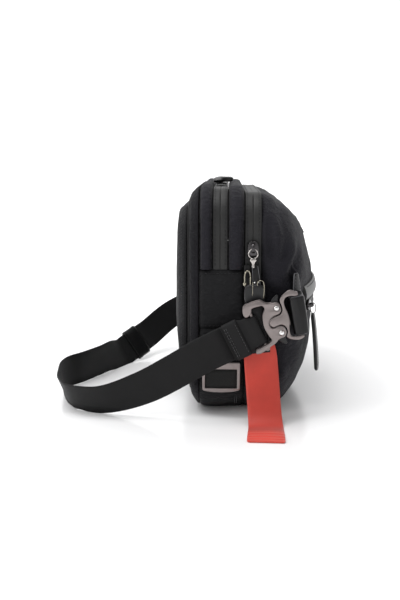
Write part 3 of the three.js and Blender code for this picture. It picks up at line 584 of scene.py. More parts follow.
def coated(name, color, rough, mottle=0.1, spec=0.45):
    """cloth or board under a smooth coating"""
    s = Shader(name, color, rough)
    at = s.coords()
    s.mottle(at, mottle, scale=40.0, rough_spread=0.06)
    weave = s.weave(at, period=0.0009)
    s.bump(weave, strength=0.1, distance=0.0001)
    s.bump(s.noise(at, Scale=500.0, Detail=3.0), strength=0.12, distance=0.0003)
    s.set(Specular_IOR_Level=spec)
    # painted shade: ambient occlusion darkens the colour in seams and folds
    s.paint_occlusion_shade(0.006)
    return s.material


def webbing(name, color, rough, sheen, spec):
    """ribbed tape, patterned along its UV map"""
    s = Shader(name, color, rough)
    at = s.coords("UV")
    s.mottle(at, amount=0.12, scale=6.0, rough_spread=0.05)
    along, across, _ = s.split(at)
    frequency = 2 * math.pi / (0.0011 * 10)     # 1.1 mm ribs
    ribs = s.wave(across, frequency)
    twill = s.math("SINE", s.math("MULTIPLY", s.math("ADD", along, across), frequency * 1.6))
    height = s.math("ADD", s.math("MULTIPLY", ribs, 0.7), s.math("MULTIPLY", twill, 0.5))
    s.bump(height, strength=0.22, distance=0.00025)
    s.bump(s.noise(at, Scale=90.0, Detail=3.0), strength=0.15, distance=0.0004)
    s.set(Sheen_Weight=sheen, Specular_IOR_Level=spec)
    # painted shade: ambient occlusion darkens the colour in seams and folds
    s.paint_occlusion_shade(0.008)
    return s.material


def leather_mat(name, color, rough, coat, grain=700.0, strength=0.25):
    s = Shader(name, color, rough)
    at = s.coords()
    s.mottle(at, amount=0.25, scale=60.0, rough_spread=0.07)
    pebbles = s.add("TexVoronoi", dict(Vector=at, Scale=grain)).outputs["Distance"]
    s.bump(pebbles, strength, distance=0.0003)
    s.bump(s.noise(at, Scale=220.0, Detail=5.0), strength * 0.5, distance=0.0005)
    s.set(Coat_Weight=coat, Coat_Roughness=0.25, Specular_IOR_Level=0.24)
    # painted shade: ambient occlusion darkens the colour in seams and folds
    s.paint_occlusion_shade(0.006)
    return s.material


def metal(name, color, rough, metallic=1.0):
    """metal with faint marks drawn out along z"""
    s = Shader(name, color, rough, metallic)
    s.mottle(s.coords(), amount=0.12, scale=120.0, rough_spread=0.06)
    marks = s.noise(s.coords(scale=(900, 900, 40)), Scale=1.0, Detail=3.0)
    s.bump(marks, strength=0.05, distance=0.0002)
    return s.material


# (place down the ribbon, tone): painted shade, deepest below the leather tab, and painted light
# towards the hem
RIBBON_PAINTED_LIGHT_AND_SHADE = ((0.21, 1.0), (0.265, 0.66), (0.34, 0.80), (0.62, 0.77), (0.78, 0.86),
                (0.95, 0.90))


def ribbon_mat(name, color):
    s = Shader(name, color, 0.5)
    at = s.coords("UV")
    mottled = s.mottle(at, amount=0.08, scale=5.0, rough_spread=0.05)
    along, across, _ = s.split(at)
    frequency = 2 * math.pi / 0.009
    ribs, cords = s.wave(along, frequency), s.wave(across, frequency * 1.2)
    height = s.math("ADD", ribs, s.math("MULTIPLY", cords, 0.5))
    s.bump(height, strength=0.16, distance=0.0002)
    # painted light and shade along the ribbon, found from y + z
    _, y, z = s.split(s.coords())
    run = s.math("ADD", z, s.math("ADD", y, 0.14))
    painted_light_and_shade = s.add("ValToRGB", dict(Fac=s.map_range(run, to=(0.0, 1.0), source=(-0.060, 0.065))))
    first, last = painted_light_and_shade.color_ramp.elements
    first.position, first.color = 0.0, (1, 1, 1, 1)
    last.position, last.color = 1.0, (0.9, 0.9, 0.9, 1)
    for position, grey in RIBBON_PAINTED_LIGHT_AND_SHADE:
        painted_light_and_shade.color_ramp.elements.new(position).color = (grey, grey, grey, 1)
    s.link(s.multiply_color(1.0, mottled, painted_light_and_shade.outputs["Color"]), "Base Color")
    s.set(Sheen_Weight=0.15, Specular_IOR_Level=0.4)
    return s.material


MATS = {
    "pad": fabric("pad_mesh", (0.020, 0.020, 0.0213), rough=0.9, period=0.0026,
                  strength=0.6, sheen=0.1, spec=0.22),
    # the body cloth's painted occlusion shade reaches further, to darken the front panel's folds
    "body": fabric("body_weave", (0.0094, 0.0088, 0.0128), rough=0.8, period=0.0012,
                   strength=0.45, sheen=0.08, spec=0.22, occlusion_shade_reach=0.02, power=2.3),
    "band": fabric("band_weave", (0.0040, 0.0038, 0.0056), rough=0.8, period=0.0012,
                   strength=0.45, sheen=0.05, spec=0.15),
    "side": fabric("side_weave", (0.0068, 0.0068, 0.0078), rough=0.72, period=0.0010,
                   strength=0.35, sheen=0.05, spec=0.18),
    "lining": fabric("lining_weave", (0.06, 0.06, 0.068), rough=0.9, period=0.0014,
                     strength=0.2, sheen=0.2),
    "tape": coated("coated_tape", (0.0185, 0.0185, 0.0183), rough=0.5, spec=0.25),
    "welt": coated("coated_welt", (0.10, 0.10, 0.098), rough=0.45, spec=0.3),
    "coil": coated("coil_nylon", (0.012, 0.012, 0.013), rough=0.5),
    "web": webbing("belt_webbing", (0.0070, 0.0070, 0.0074), rough=0.6, sheen=0.02, spec=0.18),
    "binding": webbing("binding_tape", (0.008, 0.008, 0.0085), rough=0.65, sheen=0.03, spec=0.2),
    "thread": fabric("thread", (0.013, 0.013, 0.0145), rough=0.7, period=0.0005,
                     strength=0.4, sheen=0.1, spec=0.2),
    "thread_grey": fabric("thread_grey", (0.07, 0.07, 0.072), rough=0.6, period=0.0005,
                          strength=0.4, sheen=0.1, spec=0.25),
    "leather": leather_mat("leather_black", (0.0045, 0.0045, 0.005), rough=0.30, coat=0.08),
    "edge": leather_mat("leather_edge_paint", (0.085, 0.085, 0.09), rough=0.45, coat=0.1,
                        grain=900.0, strength=0.15),
    "gun": metal("gunmetal_satin", (0.24, 0.21, 0.204), rough=0.36),
    "slate": metal("slider_nickel", (0.07, 0.067, 0.069), rough=0.24),
    "black_metal": metal("black_paint", (0.005, 0.005, 0.0055), rough=0.32, metallic=0.1),
    "steel": metal("polished_steel", (0.75, 0.74, 0.73), rough=0.16),
    "ring": metal("satin_steel", (0.50, 0.47, 0.45), rough=0.24),
    "gold": metal("pale_gold", (0.33, 0.305, 0.245), rough=0.25),
    "ribbon": ribbon_mat("ribbon_red", (0.60, 0.052, 0.032)),
    "panel": coated("badge_insert", (0.006, 0.0063, 0.006), rough=0.45, mottle=0.15, spec=0.2),
    "board": coated("stiffener_board", (0.12, 0.11, 0.10), rough=0.8),
}
# CAD pieces that are kept and only given a material
for cad_node, key in (("main_zip_coil", "coil"), ("front_zip_coil", "coil"),
                      ("pocket_zip_coil", "coil"), ("base_board", "board")):
    cad_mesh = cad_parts[cad_node].data
    cad_mesh.materials.clear()
    cad_mesh.materials.append(MATS[key])


# ---------------------------------------------------------------- paths round the bag
def arc_path(cy, cz, radius, start, end):
    """columns y, z and the outward normal's y, z; angles in quarter turns"""
    start, end = start * math.pi / 2, end * math.pi / 2
    steps = max(int(abs(end - start) * radius / 2.4), 3)
    t = np.linspace(start, end, steps + 1)
    return points(cy + radius * np.cos(t), cz + radius * np.sin(t), np.cos(t), np.sin(t))


def line_path(p, q, normal):
    steps = max(int(math.hypot(q[0] - p[0], q[1] - p[1]) / 3.0), 1)
    t = np.linspace(0, 1, steps + 1)
    return points(p[0] * (1 - t) + q[0] * t, p[1] * (1 - t) + q[1] * t, *normal)


def chain(first, *rest):
    return np.concatenate([first] + [part[1:] for part in rest])


def arch_path(w, top, r, z_end):
    """near end up, over the top, down the far end"""
    return chain(line_path((-w, z_end), (-w, top - r), (-1, 0)),
                 arc_path(-w + r, top - r, r, 2, 1),
                 line_path((-w + r, top), (w - r, top), (0, 1)),
                 arc_path(w - r, top - r, r, 1, 0),
                 line_path((w, top - r), (w, z_end), (1, 0)))


def cradle_path(w, r, z_end):
    """near end down, along the base, up the far end"""
    return chain(line_path((-w, z_end), (-w, r), (-1, 0)),
                 arc_path(-w + r, r, r, 2, 3),
                 line_path((-w + r, 0), (w - r, 0), (0, -1)),
                 arc_path(w - r, r, r, 3, 4),
                 line_path((w, r), (w, z_end), (1, 0)))


def main_zip_path(z_end):
    return arch_path(HALF_W - 1.0, TOP_MAIN_ZIP - 0.5, R_TOP - 1, z_end)


def front_zip_path(z_end):
    return arch_path(HALF_W - 1.4, TOP_FRONT_ZIP - 0.4, R_TOP - 3, z_end)


def rounded_outline(w, z0, z1, r_top, r_base, counts):
    """closed (y, z) outline from the +y top corner; counts per corner, across and up"""
    corner_n, across_n, up_n = counts
    corners = [(w - r_top, z1 - r_top, r_top), (-w + r_top, z1 - r_top, r_top),
               (-w + r_base, z0 + r_base, r_base), (w - r_base, z0 + r_base, r_base)]
    parts = []
    for i, (cy, cz, r) in enumerate(corners):
        t = (i + np.arange(corner_n) / corner_n) * math.pi / 2
        parts.append(points(cy + r * np.cos(t), cz + r * np.sin(t)))
        facing = np.array([math.cos((i + 1) * math.pi / 2), math.sin((i + 1) * math.pi / 2)])
        next_y, next_z, next_r = corners[(i + 1) % 4]
        start, end = (cy, cz) + r * facing, (next_y, next_z) + next_r * facing
        n = up_n if i % 2 else across_n
        parts.append(start + (end - start) * (np.arange(n) / n)[:, None])
    return np.concatenate(parts)


def ring_at(x, outline):
    return points(x, outline[:, 0], outline[:, 1])


def inset_ring(x, box, inset, radius, counts):
    """ring inside a box (half width, z0, z1)"""
    w, z0, z1 = box
    outline = rounded_outline(w - inset, z0 + inset, z1 - inset, radius, radius, counts)
    return ring_at(x, outline)


def strip(name, path, x0, x1, node, thickness, mat, slot, crown, dip, edge, seed,
          columns=13, wrinkle=0.28, taper=0.0, lip=0):
    """crowned strip of cloth along a path; its long edges turn down into the seams.

    lip is the side (+1 or -1 in x) with a fine lip, on a zip tape
    """
    u = np.linspace(-1, 1, columns)
    u = np.sign(u) * np.abs(u) ** 0.8
    half = (x1 - x0) / 2
    x = (x0 + x1) / 2 + u * half
    margin = half - np.abs(u) * half
    crowned = crown * (1 - u ** 2) - dip * (1 - smooth01(margin / edge))
    if lip:
        crowned = crowned + 0.05 * bell(x, (x1 if lip > 0 else x0) - lip * 0.4, 0.5)
    run = run_length(path[:, :2])
    along = run[:, None]
    height = crowned + (wrinkle * fbm(points(along / 16, x / 15, seed * 3.1), seed)
                        * smooth01(margin / 3.0 + 0.25))
    # puckers gathered at the seams
    puckers = value_noise(points(along / 4.2, x / 9, seed * 5.7), seed + 9)
    height = height + wrinkle * 0.45 * puckers * np.exp(-margin / 3.5)
    if taper:
        to_end = np.minimum(run, run[-1] - run)
        height = height - taper * (1 - smooth01(to_end / 2.2))[:, None]

    def skin(h):
        return points(x, path[:, :1] + path[:, 2:3] * h, path[:, 1:2] + path[:, 3:] * h)

    uv = points(along, np.concatenate([x, x[::-1]]))
    ob = grid_mesh(name, skins(skin(height), skin(-thickness - dip * 0.5)), mat, 50, uv)
    return place(ob, "bag", slot, node)


# ---------------------------------------------------------------- cloth
def inflate(start, faces, pin, pressure, cap):
    """blows a closed shape up a little as cloth; pinned points hold, none moves past cap"""
    mesh = bpy.data.meshes.new("cloth_tmp")
    mesh.from_pydata((start * MM).tolist(), [], faces)
    face_outward(mesh)
    ob = add_object("cloth_tmp", mesh)
    group = ob.vertex_groups.new(name="pin")
    for i, weight in enumerate(pin):
        if weight > 0:
            group.add([i], float(weight), "REPLACE")
    cloth = ob.modifiers.new("cloth", "CLOTH")
    settings = cloth.settings
    settings.quality = 5
    settings.mass = 0.25
    settings.tension_stiffness = settings.compression_stiffness = 18.0
    settings.shear_stiffness = 8
    settings.bending_stiffness = 0.6
    settings.tension_damping = settings.compression_damping = 8
    settings.air_damping = 3
    settings.use_pressure = True
    settings.uniform_pressure_force = pressure
    settings.vertex_group_mass = "pin"
    settings.effector_weights.gravity = 0.0
    cloth.collision_settings.use_collision = False
    cloth.collision_settings.use_self_collision = False
    first, last = 1, 20
    cloth.point_cache.frame_start, cloth.point_cache.frame_end = first, last
    scene.frame_start, scene.frame_end = first, last
    for number in range(first, last + 1):
        scene.frame_set(number)
    blown = ob.evaluated_get(bpy.context.evaluated_depsgraph_get()).data
    co = np.zeros(len(blown.vertices) * 3, np.float32)
    blown.vertices.foreach_get("co", co)
    moved = co.reshape(-1, 3).astype(float) / MM - start
    bpy.data.objects.remove(ob)
    bpy.data.meshes.remove(mesh)
    scene.frame_set(1)
    if not np.isfinite(moved).all():        # the simulation blew apart
        return start.copy()
    distance = np.linalg.norm(moved, axis=1, keepdims=True)
    return start + moved * np.minimum(1, cap / np.maximum(distance, 1e-9))


# ---------------------------------------------------------------- rear of the bag
PANEL_COUNTS = (7, 42, 24)
PIPING_COUNTS = (9, 60, 40)
PAD_BOX = (112.3, 33.6, 188.4)          # half width, bottom, top
PAD_BACK_X = -50.9
PAD_ROLL = 6.5                          # width of the rounded rim
PAD_INSETS = np.array([0, 0.6, 1.4, 2.4, 3.6, 5.2, 7.2, 9.8, 13, 17, 22, 28, 35, 42, 49, 56,
                       63, 68.5])


def pad_ring(inset):
    rim = min(inset / PAD_ROLL, 1.0)
    height = 11.4 * (1 - (1 - rim) ** 2.1) + 1.3 * smooth01(inset / 55)
    tuck = 2.6 * math.exp(-height / 1.6)
    ring = inset_ring(0.0, PAD_BOX, inset + tuck, max(24 - inset * 0.5, 4), PANEL_COUNTS)
    z = ring[:, 2]
    # thinner towards the bottom and the top
    height = height * (1 - 0.26 * smooth01((70 - z) / 38)) * (1 - 0.12 * smooth01((z - 158) / 30))
    ring[:, 0] = PAD_BACK_X - height
    return ring


def quilting(y, z):
    """depth of the two curved channels across the pad and the one up its middle"""
    depth = 3.4 * sum(bell(z, middle + 5 * np.cos(y / 60), 2.6) for middle in (77.0, 137.0))
    return depth * smooth01((98 - np.abs(y)) / 18) + 2.6 * bell(y, 0, 3.0) * between(z, 60, 170, 20)


def back_pad():
    rings = np.array([pad_ring(inset) for inset in PAD_INSETS])
    rows, n = rings.shape[:2]
    faces = grid_faces(rows, n)
    flat = rings.reshape(-1, 3)
    channel = quilting(flat[:, 1], flat[:, 2])
    pin = ((np.arange(rows * n) // n < 2) | (channel > 1.5)).astype(float)
    rim = np.minimum(np.repeat(PAD_INSETS, n) / PAD_ROLL, 1)
    flat[:, 0] += channel * rim
    moved = inflate(flat, faces, pin, pressure=5.0, cap=2.4) - flat
    moved[:, 0] = np.clip(moved[:, 0], -1.5, 0.6)
    verts = flat + moved
    verts[:, 0] -= 0.25 * fbm(flat / 19.0, 4) * rim
    ob = mesh_obj("back_pad_visual", verts, faces, "pad", None, 60)
    place(subdivided(ob), "bag", "pad_fabric", "back_pad")
    piping = inset_ring(-51.7, (111.2, 34.8, 187.2), 0, 23.5, PIPING_COUNTS)
    place(wire("back_pad_piping", piping, 1.15, "binding", 8, closed=True), "bag", "pad_fabric")


# (inset, x) from the hidden edge in to the middle
REAR_PANEL_PROFILE = ((0, -48.6), (0.3, -50.6), (2.0, -51.3), (5, -51.2), (9, -50.9),
                      (14, -50.7), (30, -50.6), (60, -50.6))


def rear_panel():
    rings = []
    for inset, x in REAR_PANEL_PROFILE:
        ring = inset_ring(x, (119.0, 17.6, 192.6), inset, max(28 - inset * 0.5, 5), PANEL_COUNTS)
        ring[:, 0] += 0.22 * fbm(points(ring[:, 1] / 14, ring[:, 2] / 14, 0), 3)
        rings.append(ring)
    place(grid_mesh("rear_panel_visual", rings, "band", 50), "bag", "pad_fabric", "rear_panel")


# x, then inset at the ends, at the top and at the base
BAND_OUTER = [(-50.2, 10.9, 13.4, 17.4), (-50.55, 8.9, 10.8, 15.2), (-49.7, 6.8, 8.1, 12.0),
              (-48.0, 4.9, 5.9, 8.6), (-46.0, 3.1, 4.2, 5.5), (-44.0, 1.7, 2.6, 2.9),
              (-42.6, 1.0, 1.7, 1.5), (-42.0, 1.5, 2.0, 1.9), (-41.9, 2.8, 3.2, 3.2)]
BAND_INNER = [(-42.2, 4.2, 4.4, 4.6), (-46.2, 6.6, 7.6, 9.0), (-49.8, 12.2, 14.6, 19.0)]
BAND_SWELL = [0.2, 0.4, 0.8, 1, 1, 0.9, 0.5, 0.1, 0]    # per outer ring


def band_rings(profile):
    return np.array([
        ring_at(x, rounded_outline(HALF_W - end, base, TOP_REAR - top, R_TOP - top * 0.2,
                                   R_BASE - base * 0.3, (12, 70, 48)))
        for x, end, top, base in profile])


def rear_band():
    """rounded padded shoulder between the rear panel and the first strip"""
    outer = band_rings(BAND_OUTER)
    lumps = fbm(outer / (7, 17, 17), 21)[..., None]
    swell = (0.42 * lumps + 0.35) * np.array(BAND_SWELL)[:, None, None]
    outer = outer + grid_normals(outer) * swell
    rings = np.transpose(np.concatenate([outer, band_rings(BAND_INNER)]), (1, 0, 2))
    ob = grid_mesh("rear_band_visual", rings, "band", 60, wrap_rows=True)
    place(subdivided(ob), "bag", "body_fabric", "rear_edge_band")
    # bound seam between band and rear panel
    seam = ring_at(-50.75, rounded_outline(HALF_W - 10.4, 17.0, TOP_REAR - 12.2, 27.5, 27.0,
                                           PIPING_COUNTS))
    place(wire("rear_seam_piping", seam, 0.8, "binding", 8, closed=True), "bag", "body_fabric")


def slip_pocket():
    """hemmed inner sheet hanging a little open at its top"""
    u, v = np.linspace(-1, 1, 33), np.linspace(0, 1, 17)[:, None]
    sag = 1 - u * u
    sheet = points(-47.4 + 1.9 * v ** 2 * sag + 0.3 * np.sin(u * 9) * v, 104 * u,
                   22 + 98 * v - 1.5 * v * sag)
    ob = grid_mesh("slip_pocket_visual", skins(sheet, sheet + (1.1, 0, 0)), "lining")
    place(ob, "bag", "lining_fabric", "rear_slip_pocket")


# (inset, x): over the rear face to the middle, then back over the front face
DIVIDER_PROFILE = ((0, -9.3), (0.5, -9.9), (6, -10.2), (40, -10.6), (80, -10.7), (80.1, -7.2),
                   (40, -7.2), (6, -7.6), (0.5, -7.9), (0, -8.5))


def divider():
    """panel between the compartments"""
    rings = [inset_ring(x, (126.0, 3.9, 200.0), inset, max(27 - inset * 0.4, 5), (6, 20, 12))
             for inset, x in DIVIDER_PROFILE]
    ob = grid_mesh("divider_visual", rings, "lining", 60)
    place(ob, "bag", "lining_fabric", "divider_panel")


# ---------------------------------------------------------------- gusset strips, zips, base
ARCH_END_Z = SIDE_SEAM_Z + 0.2
SIDE_STITCH_MID = (-21.9, 106.3)


def strips():
    gusset = dict(thickness=2.6, mat="body", slot="body_fabric", taper=0.7, wrinkle=0.4)
    tape = dict(thickness=1.0, mat="tape", slot="zip_tape", crown=0.15, dip=0.35, edge=0.7,
                columns=15, taper=0.4)
    base = dict(mat="side", slot="body_fabric")
    w = HALF_W - 0.5
    strip("rear_gusset_visual", arch_path(w, TOP_REAR - 0.5, R_TOP, ARCH_END_Z),
          REAR_X0 + 0.35, REAR_X1 - 0.25, "rear_gusset_strip",
          crown=2.0, dip=2.3, edge=2.3, seed=3, **gusset)
    strip("middle_gusset_visual", arch_path(w, TOP_MID - 0.5, R_TOP, ARCH_END_Z),
          MID_X0 + 0.25, MID_X1 - 0.3, "middle_gusset_strip",
          crown=2.4, dip=2.4, edge=2.4, seed=5, **gusset)
    main, front = main_zip_path(ARCH_END_Z), front_zip_path(FRONT_ZIP_END_Z)
    strip("main_tape_rear_visual", main, REAR_X1 + 0.2, MAIN_ZIP_X - TAPE_GAP,
          "main_zip_tape_rear", wrinkle=0.12, seed=7, lip=1, **tape)
    strip("main_tape_front_visual", main, MAIN_ZIP_X + TAPE_GAP, MID_X0 - 0.2,
          "main_zip_tape_front", wrinkle=0.12, seed=8, lip=-1, **tape)
    strip("front_tape_rear_visual", front, FRONT_X0 + 0.1, FRONT_ZIP_X - TAPE_GAP,
          "front_zip_tape_rear", wrinkle=0.1, seed=11, lip=1, **tape)
    strip("front_tape_front_visual", front, FRONT_ZIP_X + TAPE_GAP, FRONT_X1,
          "front_zip_tape_front", wrinkle=0.1, seed=12, lip=-1, **tape)
    strip("base_gusset_visual", cradle_path(w, R_BASE, LOW_SEAM_Z), REAR_X0 + 0.05, MID_X1 + 0.1,
          "base_gusset", thickness=2.4, crown=0.9, dip=1.8, edge=2.6, columns=19, seed=13,
          taper=1.4, wrinkle=0.5, **base)
    strip("front_base_gusset_visual", cradle_path(HALF_W - 1.0, R_BASE, FRONT_ZIP_END_Z),
          FRONT_X0 + 0.1, FRONT_X1 + 0.1, "front_base_gusset", thickness=2.2, crown=0.6,
          dip=1.2, edge=2.4, seed=14, taper=0.6, **base)


def side_bulge(x, z, mid_x, mid_z):
    return -0.5 + (1 - ((x - mid_x) / 20) ** 2) * (1 - ((z - mid_z) / 26.5) ** 2)


def side_panels():
    """lower panels at both ends, between the strips and the base"""
    xs = np.linspace(REAR_X0 + 0.05, MID_X1 + 0.1, 27)
    zs = np.linspace(LOW_SEAM_Z + 0.15, SIDE_SEAM_Z - 0.1, 33)
    x, z = np.meshgrid(xs, zs)
    margin_x = np.minimum(x - xs[0], xs[-1] - x)
    margin_z = np.minimum(z - zs[0], zs[-1] - z)
    shape = side_bulge(x, z, xs.mean(), zs.mean())
    shape = shape - 1.5 * (1 - smooth01(margin_x / 2.6)) - 1.4 * (1 - smooth01(margin_z / 2.4))
    for end, side in (("near", -1), ("far", 1)):
        wrinkles = fbm(points(x / 13, z / 15, side), 31)
        bulge = shape + (0.32 * wrinkles
                         * smooth01(np.minimum(margin_x, margin_z) / 4 + 0.2))
        rows = skins(points(x, side * (HALF_W + bulge), z), points(x, side * (HALF_W - 3.4), z))
        ob = grid_mesh("side_panel_%s_visual" % end, rows, "side", 50)
        place(ob, "bag", "body_fabric", "side_panel_" + end)


def gusset_stitches():
    x = np.linspace(REAR_X0 + 2.5, MID_X1 - 2.5, 20)
    rows = []
    for side in (-1, 1):
        for z in (SIDE_SEAM_Z - 3.0, LOW_SEAM_Z + 3.0):
            bulge = side_bulge(x, z, *SIDE_STITCH_MID)
            rows.append((points(x, side * (HALF_W + bulge + 0.02), z), (0, side, 0)))
    stitches("side_seam_stitches", rows, "thread", "bag", "body_fabric")
    main, front = main_zip_path(ARCH_END_Z + 2), front_zip_path(FRONT_ZIP_END_Z + 2)
    rows = []
    for x, lift, path in ((REAR_X1 + 2.0, 0.17, main), (MID_X0 - 2.0, 0.17, main),
                          (FRONT_X0 + 2.0, 0.12, front), (FRONT_X1 - 2.0, 0.12, front)):
        y, z, normal_y, normal_z = path.T
        rows.append((points(x, y + normal_y * lift, z + normal_z * lift),
                     points(0, normal_y, normal_z)))
    stitches("zip_tape_stitches", rows, "thread", "bag", "zip_tape",
             length=2.6, gap=1.0, radius=0.24)


def front_zip_stops():
    """short cross pieces at the lower ends of the front zip"""
    x = np.linspace(-1.0, 11.4, 9)
    for end, side in (("near", -1), ("far", 1)):
        path = points(x, side * (HALF_W - 0.9), FRONT_ZIP_END_Z + 1.2)
        ob = sweep("front_zip_stop_" + end, path, (0, 0, 1), (0, side, 0),
                   flat_section(2.2, 0.7, 9, 4), "side")
        place(ob, "bag", "body_fabric")


# ---------------------------------------------------------------- front panel
# x, top z, base z, half width, corner radius
FRONT = np.array([
    [12.5, 199.0, 0, 129.8, 32], [24, 193.0, 1.2, 129.4, 34], [33, 187.0, 7.0, 127.5, 36],
    [40, 180.8, 14.0, 123.5, 38], [46.5, 172.6, 19.4, 115.2, 42], [52, 163.6, 23.2, 101.3, 46],
    [58, 150.5, 28.4, 79.5, 46], [63, 137, 36.0, 58.2, 38], [66, 123, 45.5, 40.2, 26],
    [68, 112, 58, 20.5, 16], [68.7, 106, 70, 2.0, 2]])
# slack folds in the cloth: start, end, depth (minus is inwards), half width
CREASES = [
    ((47.5, -112.5, 150), (36.0, -125.8, 122), -3.6, 4.4),
    ((42.5, -118, 154.5), (31.5, -127.8, 131), 2.3, 5.0),
    ((52.0, -104, 146), (45.0, -117, 120), 1.3, 4.0),
    ((48.5, -110, 139), (46.5, -113, 127), -1.8, 3.2),
    ((19, -126, 176), (20.5, -129.2, 140), -1.5, 3.6),
    ((24.5, -123.5, 176), (26.0, -129, 146), 1.5, 4.0),
    ((29.0, -121.5, 174), (31.5, -127.6, 134), -1.5, 4.0),
    ((14.5, -119, 186.5), (34.0, -110, 180.6), -1.3, 2.2),
    ((27.2, -114.3, 183.6), (36, -106, 179), 1.0, 2.6),
    ((17, -129.3, 118), (30, -128, 104), -1.3, 5.0), ((24, -129, 70), (42, -120, 58), -1.2, 4.5),
    ((26, -128.8, 46), (36, -124, 34), 1.2, 5.0), ((20, -129, 92), (34, -127, 76), 1.0, 5.0),
    ((46.5, 114, 147), (34.5, 126.5, 128.5), -3.0, 4.2),
    ((20, 126, 176), (21.5, 129.2, 140), -1.4, 4.0),
    ((29.0, 121.5, 174), (31.5, 127.6, 134), -1.3, 4.0),
    ((52, -60, 160), (60, -48, 140), -1.2, 6.0), ((50, 66, 164), (60, 40, 136), -1.2, 6.0),
    ((60, -40, 62), (66, 10, 72), -1.0, 6.0), ((60, 60, 76), (64, 30, 66), 1.0, 6.0)]
CREASE_DEPTH, CREASE_WIDTH = 2.3, 0.85      # factors on the table above
FRONT_SKIN = 2.4


def front_rings():
    """outlines from the zip seam to the tip, and their x"""
    half_widths = np.arange(103.0, 1.0, -5.2)
    bow_x = FRONT_CX + np.sqrt(R_FRONT ** 2 - half_widths ** 2)
    xs = np.concatenate([[12.5, 13.2, 14.2, 15.6, 17.6], np.linspace(20.5, 46.5, 11),
                         [48.4, 50.3], bow_x[bow_x > 51.0]])
    top, base, half, corner = [pchip(FRONT[:, 0], FRONT[:, k], xs) for k in (1, 2, 3, 4)]
    bow = np.sqrt(np.maximum(R_FRONT ** 2 - (xs - FRONT_CX) ** 2, 1.5))
    half = np.where(xs > 50, bow, half)
    rings = []
    for x, z1, z0, w, r in zip(xs, top, base, half, corner):
        r = min(r, w - 0.3, (z1 - z0) / 2 - 0.3)
        rings.append(ring_at(x, rounded_outline(w, z0, z1, r, r, (13, 40, 32))))
    return np.array(rings), xs


def held_close(x, y, z):
    """1 where the pocket zip, the anchor patches and the label hold the cloth"""
    angle = np.degrees(np.arctan2(y, x - FRONT_CX))
    pocket = (smooth01((23 - np.abs(angle)) / 3) * between(z, 80, 121, 6)
              * smooth01((x - 48) / 4))
    patch = between(x, 33, 55, 4) * between(z, 72, 134, 5) * smooth01((np.abs(y) - 105) / 6)
    label = smooth01((30 - np.abs(y)) / 3) * between(z, 149, 177, 4)
    return np.maximum(np.maximum(pocket, patch), label)


def crease_relief(flat):
    relief = 0
    for start, end, depth, width in CREASES:
        start, line = np.array(start, float), np.subtract(end, start)
        t = np.clip(((flat - start) @ line) / np.dot(line, line), 0, 1)
        distance = np.linalg.norm(flat - start - t[:, None] * line, axis=1)
        fade = np.sin(np.pi * (0.08 + 0.84 * t))
        relief = relief + depth * CREASE_DEPTH * bell(distance, 0, width * CREASE_WIDTH) * fade
    return relief


def front_panel():
    rings, xs = front_rings()
    rows, n = rings.shape[:2]
    normals = grid_normals(rings)
    # the edge turns down into the zip seam, then swells
    dip = (-1.5 * (1 - smooth01((xs - 12.5) / 3.2))
           + 0.4 * smooth01((xs - 14) / 10) * (1 - smooth01((xs - 40) / 14)))
    flat = (rings + normals * dip[:, None, None]).reshape(-1, 3)
    pin = (np.arange(rows * n) // n < 3).astype(float)
    moved = inflate(flat, grid_faces(rows, n), pin, pressure=4.0, cap=3.2) - flat
    normals = normals.reshape(-1, 3)
    out = np.sum(moved * normals, 1)
    sideways = moved - normals * out[:, None]
    hold = held_close(*flat.T)
    out = np.clip(out, -1.2, 2.6) * (1 - hold)
    # slack: slow waves, finer ones, then the drawn folds
    slow = flat / (15, 26, 34)
    waves = 1.2 * fbm(slow, 41) + 0.5 * fbm(slow * 2.7, 43)
    out = out + waves * (1 - 0.85 * hold) * smooth01((flat[:, 0] - 14) / 7) + crease_relief(flat)
    verts = flat + normals * out[:, None] + sideways * 0.3 * (1 - hold)[:, None]
    verts[:, 2] = np.maximum(verts[:, 2], 0.15)
    outer = verts.reshape(rows, n, 3)
    inner = (outer - grid_normals(outer) * FRONT_SKIN)[::-1]
    tip = outer[-1].mean(0)
    inner[0] = tip + (inner[0] - tip) * 0.5 - (1.5, 0, 0)
    # two skins, each capped at the tip, joined round the rim
    first = rows * n
    rim = first + (rows - 1) * n
    quads = grid_faces(rows, n, caps=False)
    faces = (quads + [tuple(range((rows - 1) * n, first))]
             + [tuple(k + first for k in quad) for quad in quads]
             + [tuple(range(first, first + n))]
             + [(j, (j + 1) % n, rim + (j + 1) % n, rim + j) for j in range(n)])
    ob = mesh_obj("front_panel_visual", np.concatenate([outer, inner]), faces, "body", None, 70)
    place(subdivided(ob), "bag", "body_fabric", "front_panel")


# ---------------------------------------------------------------- front pocket and label
def on_front(angle, lift, z):
    """point on the bowed front, angle from +x, lift outwards"""
    r = R_FRONT + lift
    return points(FRONT_CX + r * np.cos(angle), r * np.sin(angle), z)


def arc_sweep(name, section, half_angle, mat):
    """section in (lift, z)"""
    t = np.linspace(-half_angle, half_angle, 61) * DEG
    return sweep(name, on_front(t, 0.0, 0.0), points(np.cos(t), np.sin(t), 0.0), (0, 0, 1),
                 section, mat, 50)


def tape_section(z0, z1, lip_z):
    z = np.linspace(z0, z1, 11)
    lift = (1.25 + 0.35 * bell(z, lip_z, 0.6) - 0.5 * (1 - smooth01((z - z0) / 0.9))
            - 0.5 * (1 - smooth01((z1 - z) / 0.9)))
    return np.concatenate([points(lift, z), points(0.1, z)[::-1]])


# (lift, z)
WELT = [(0.1, 100.8), (1.6, 100.5), (3.0, 101.9), (3.7, 104.6), (3.2, 108.2), (2.2, 111.2),
        (1.0, 113.5), (0.1, 113.7)]
# angle, half height, half thickness
END_PATCH = [(19.0, 8.4, 0.8), (19.5, 8.6, 1.0), (20.4, 8.2, 0.9), (21.2, 6.6, 0.4)]


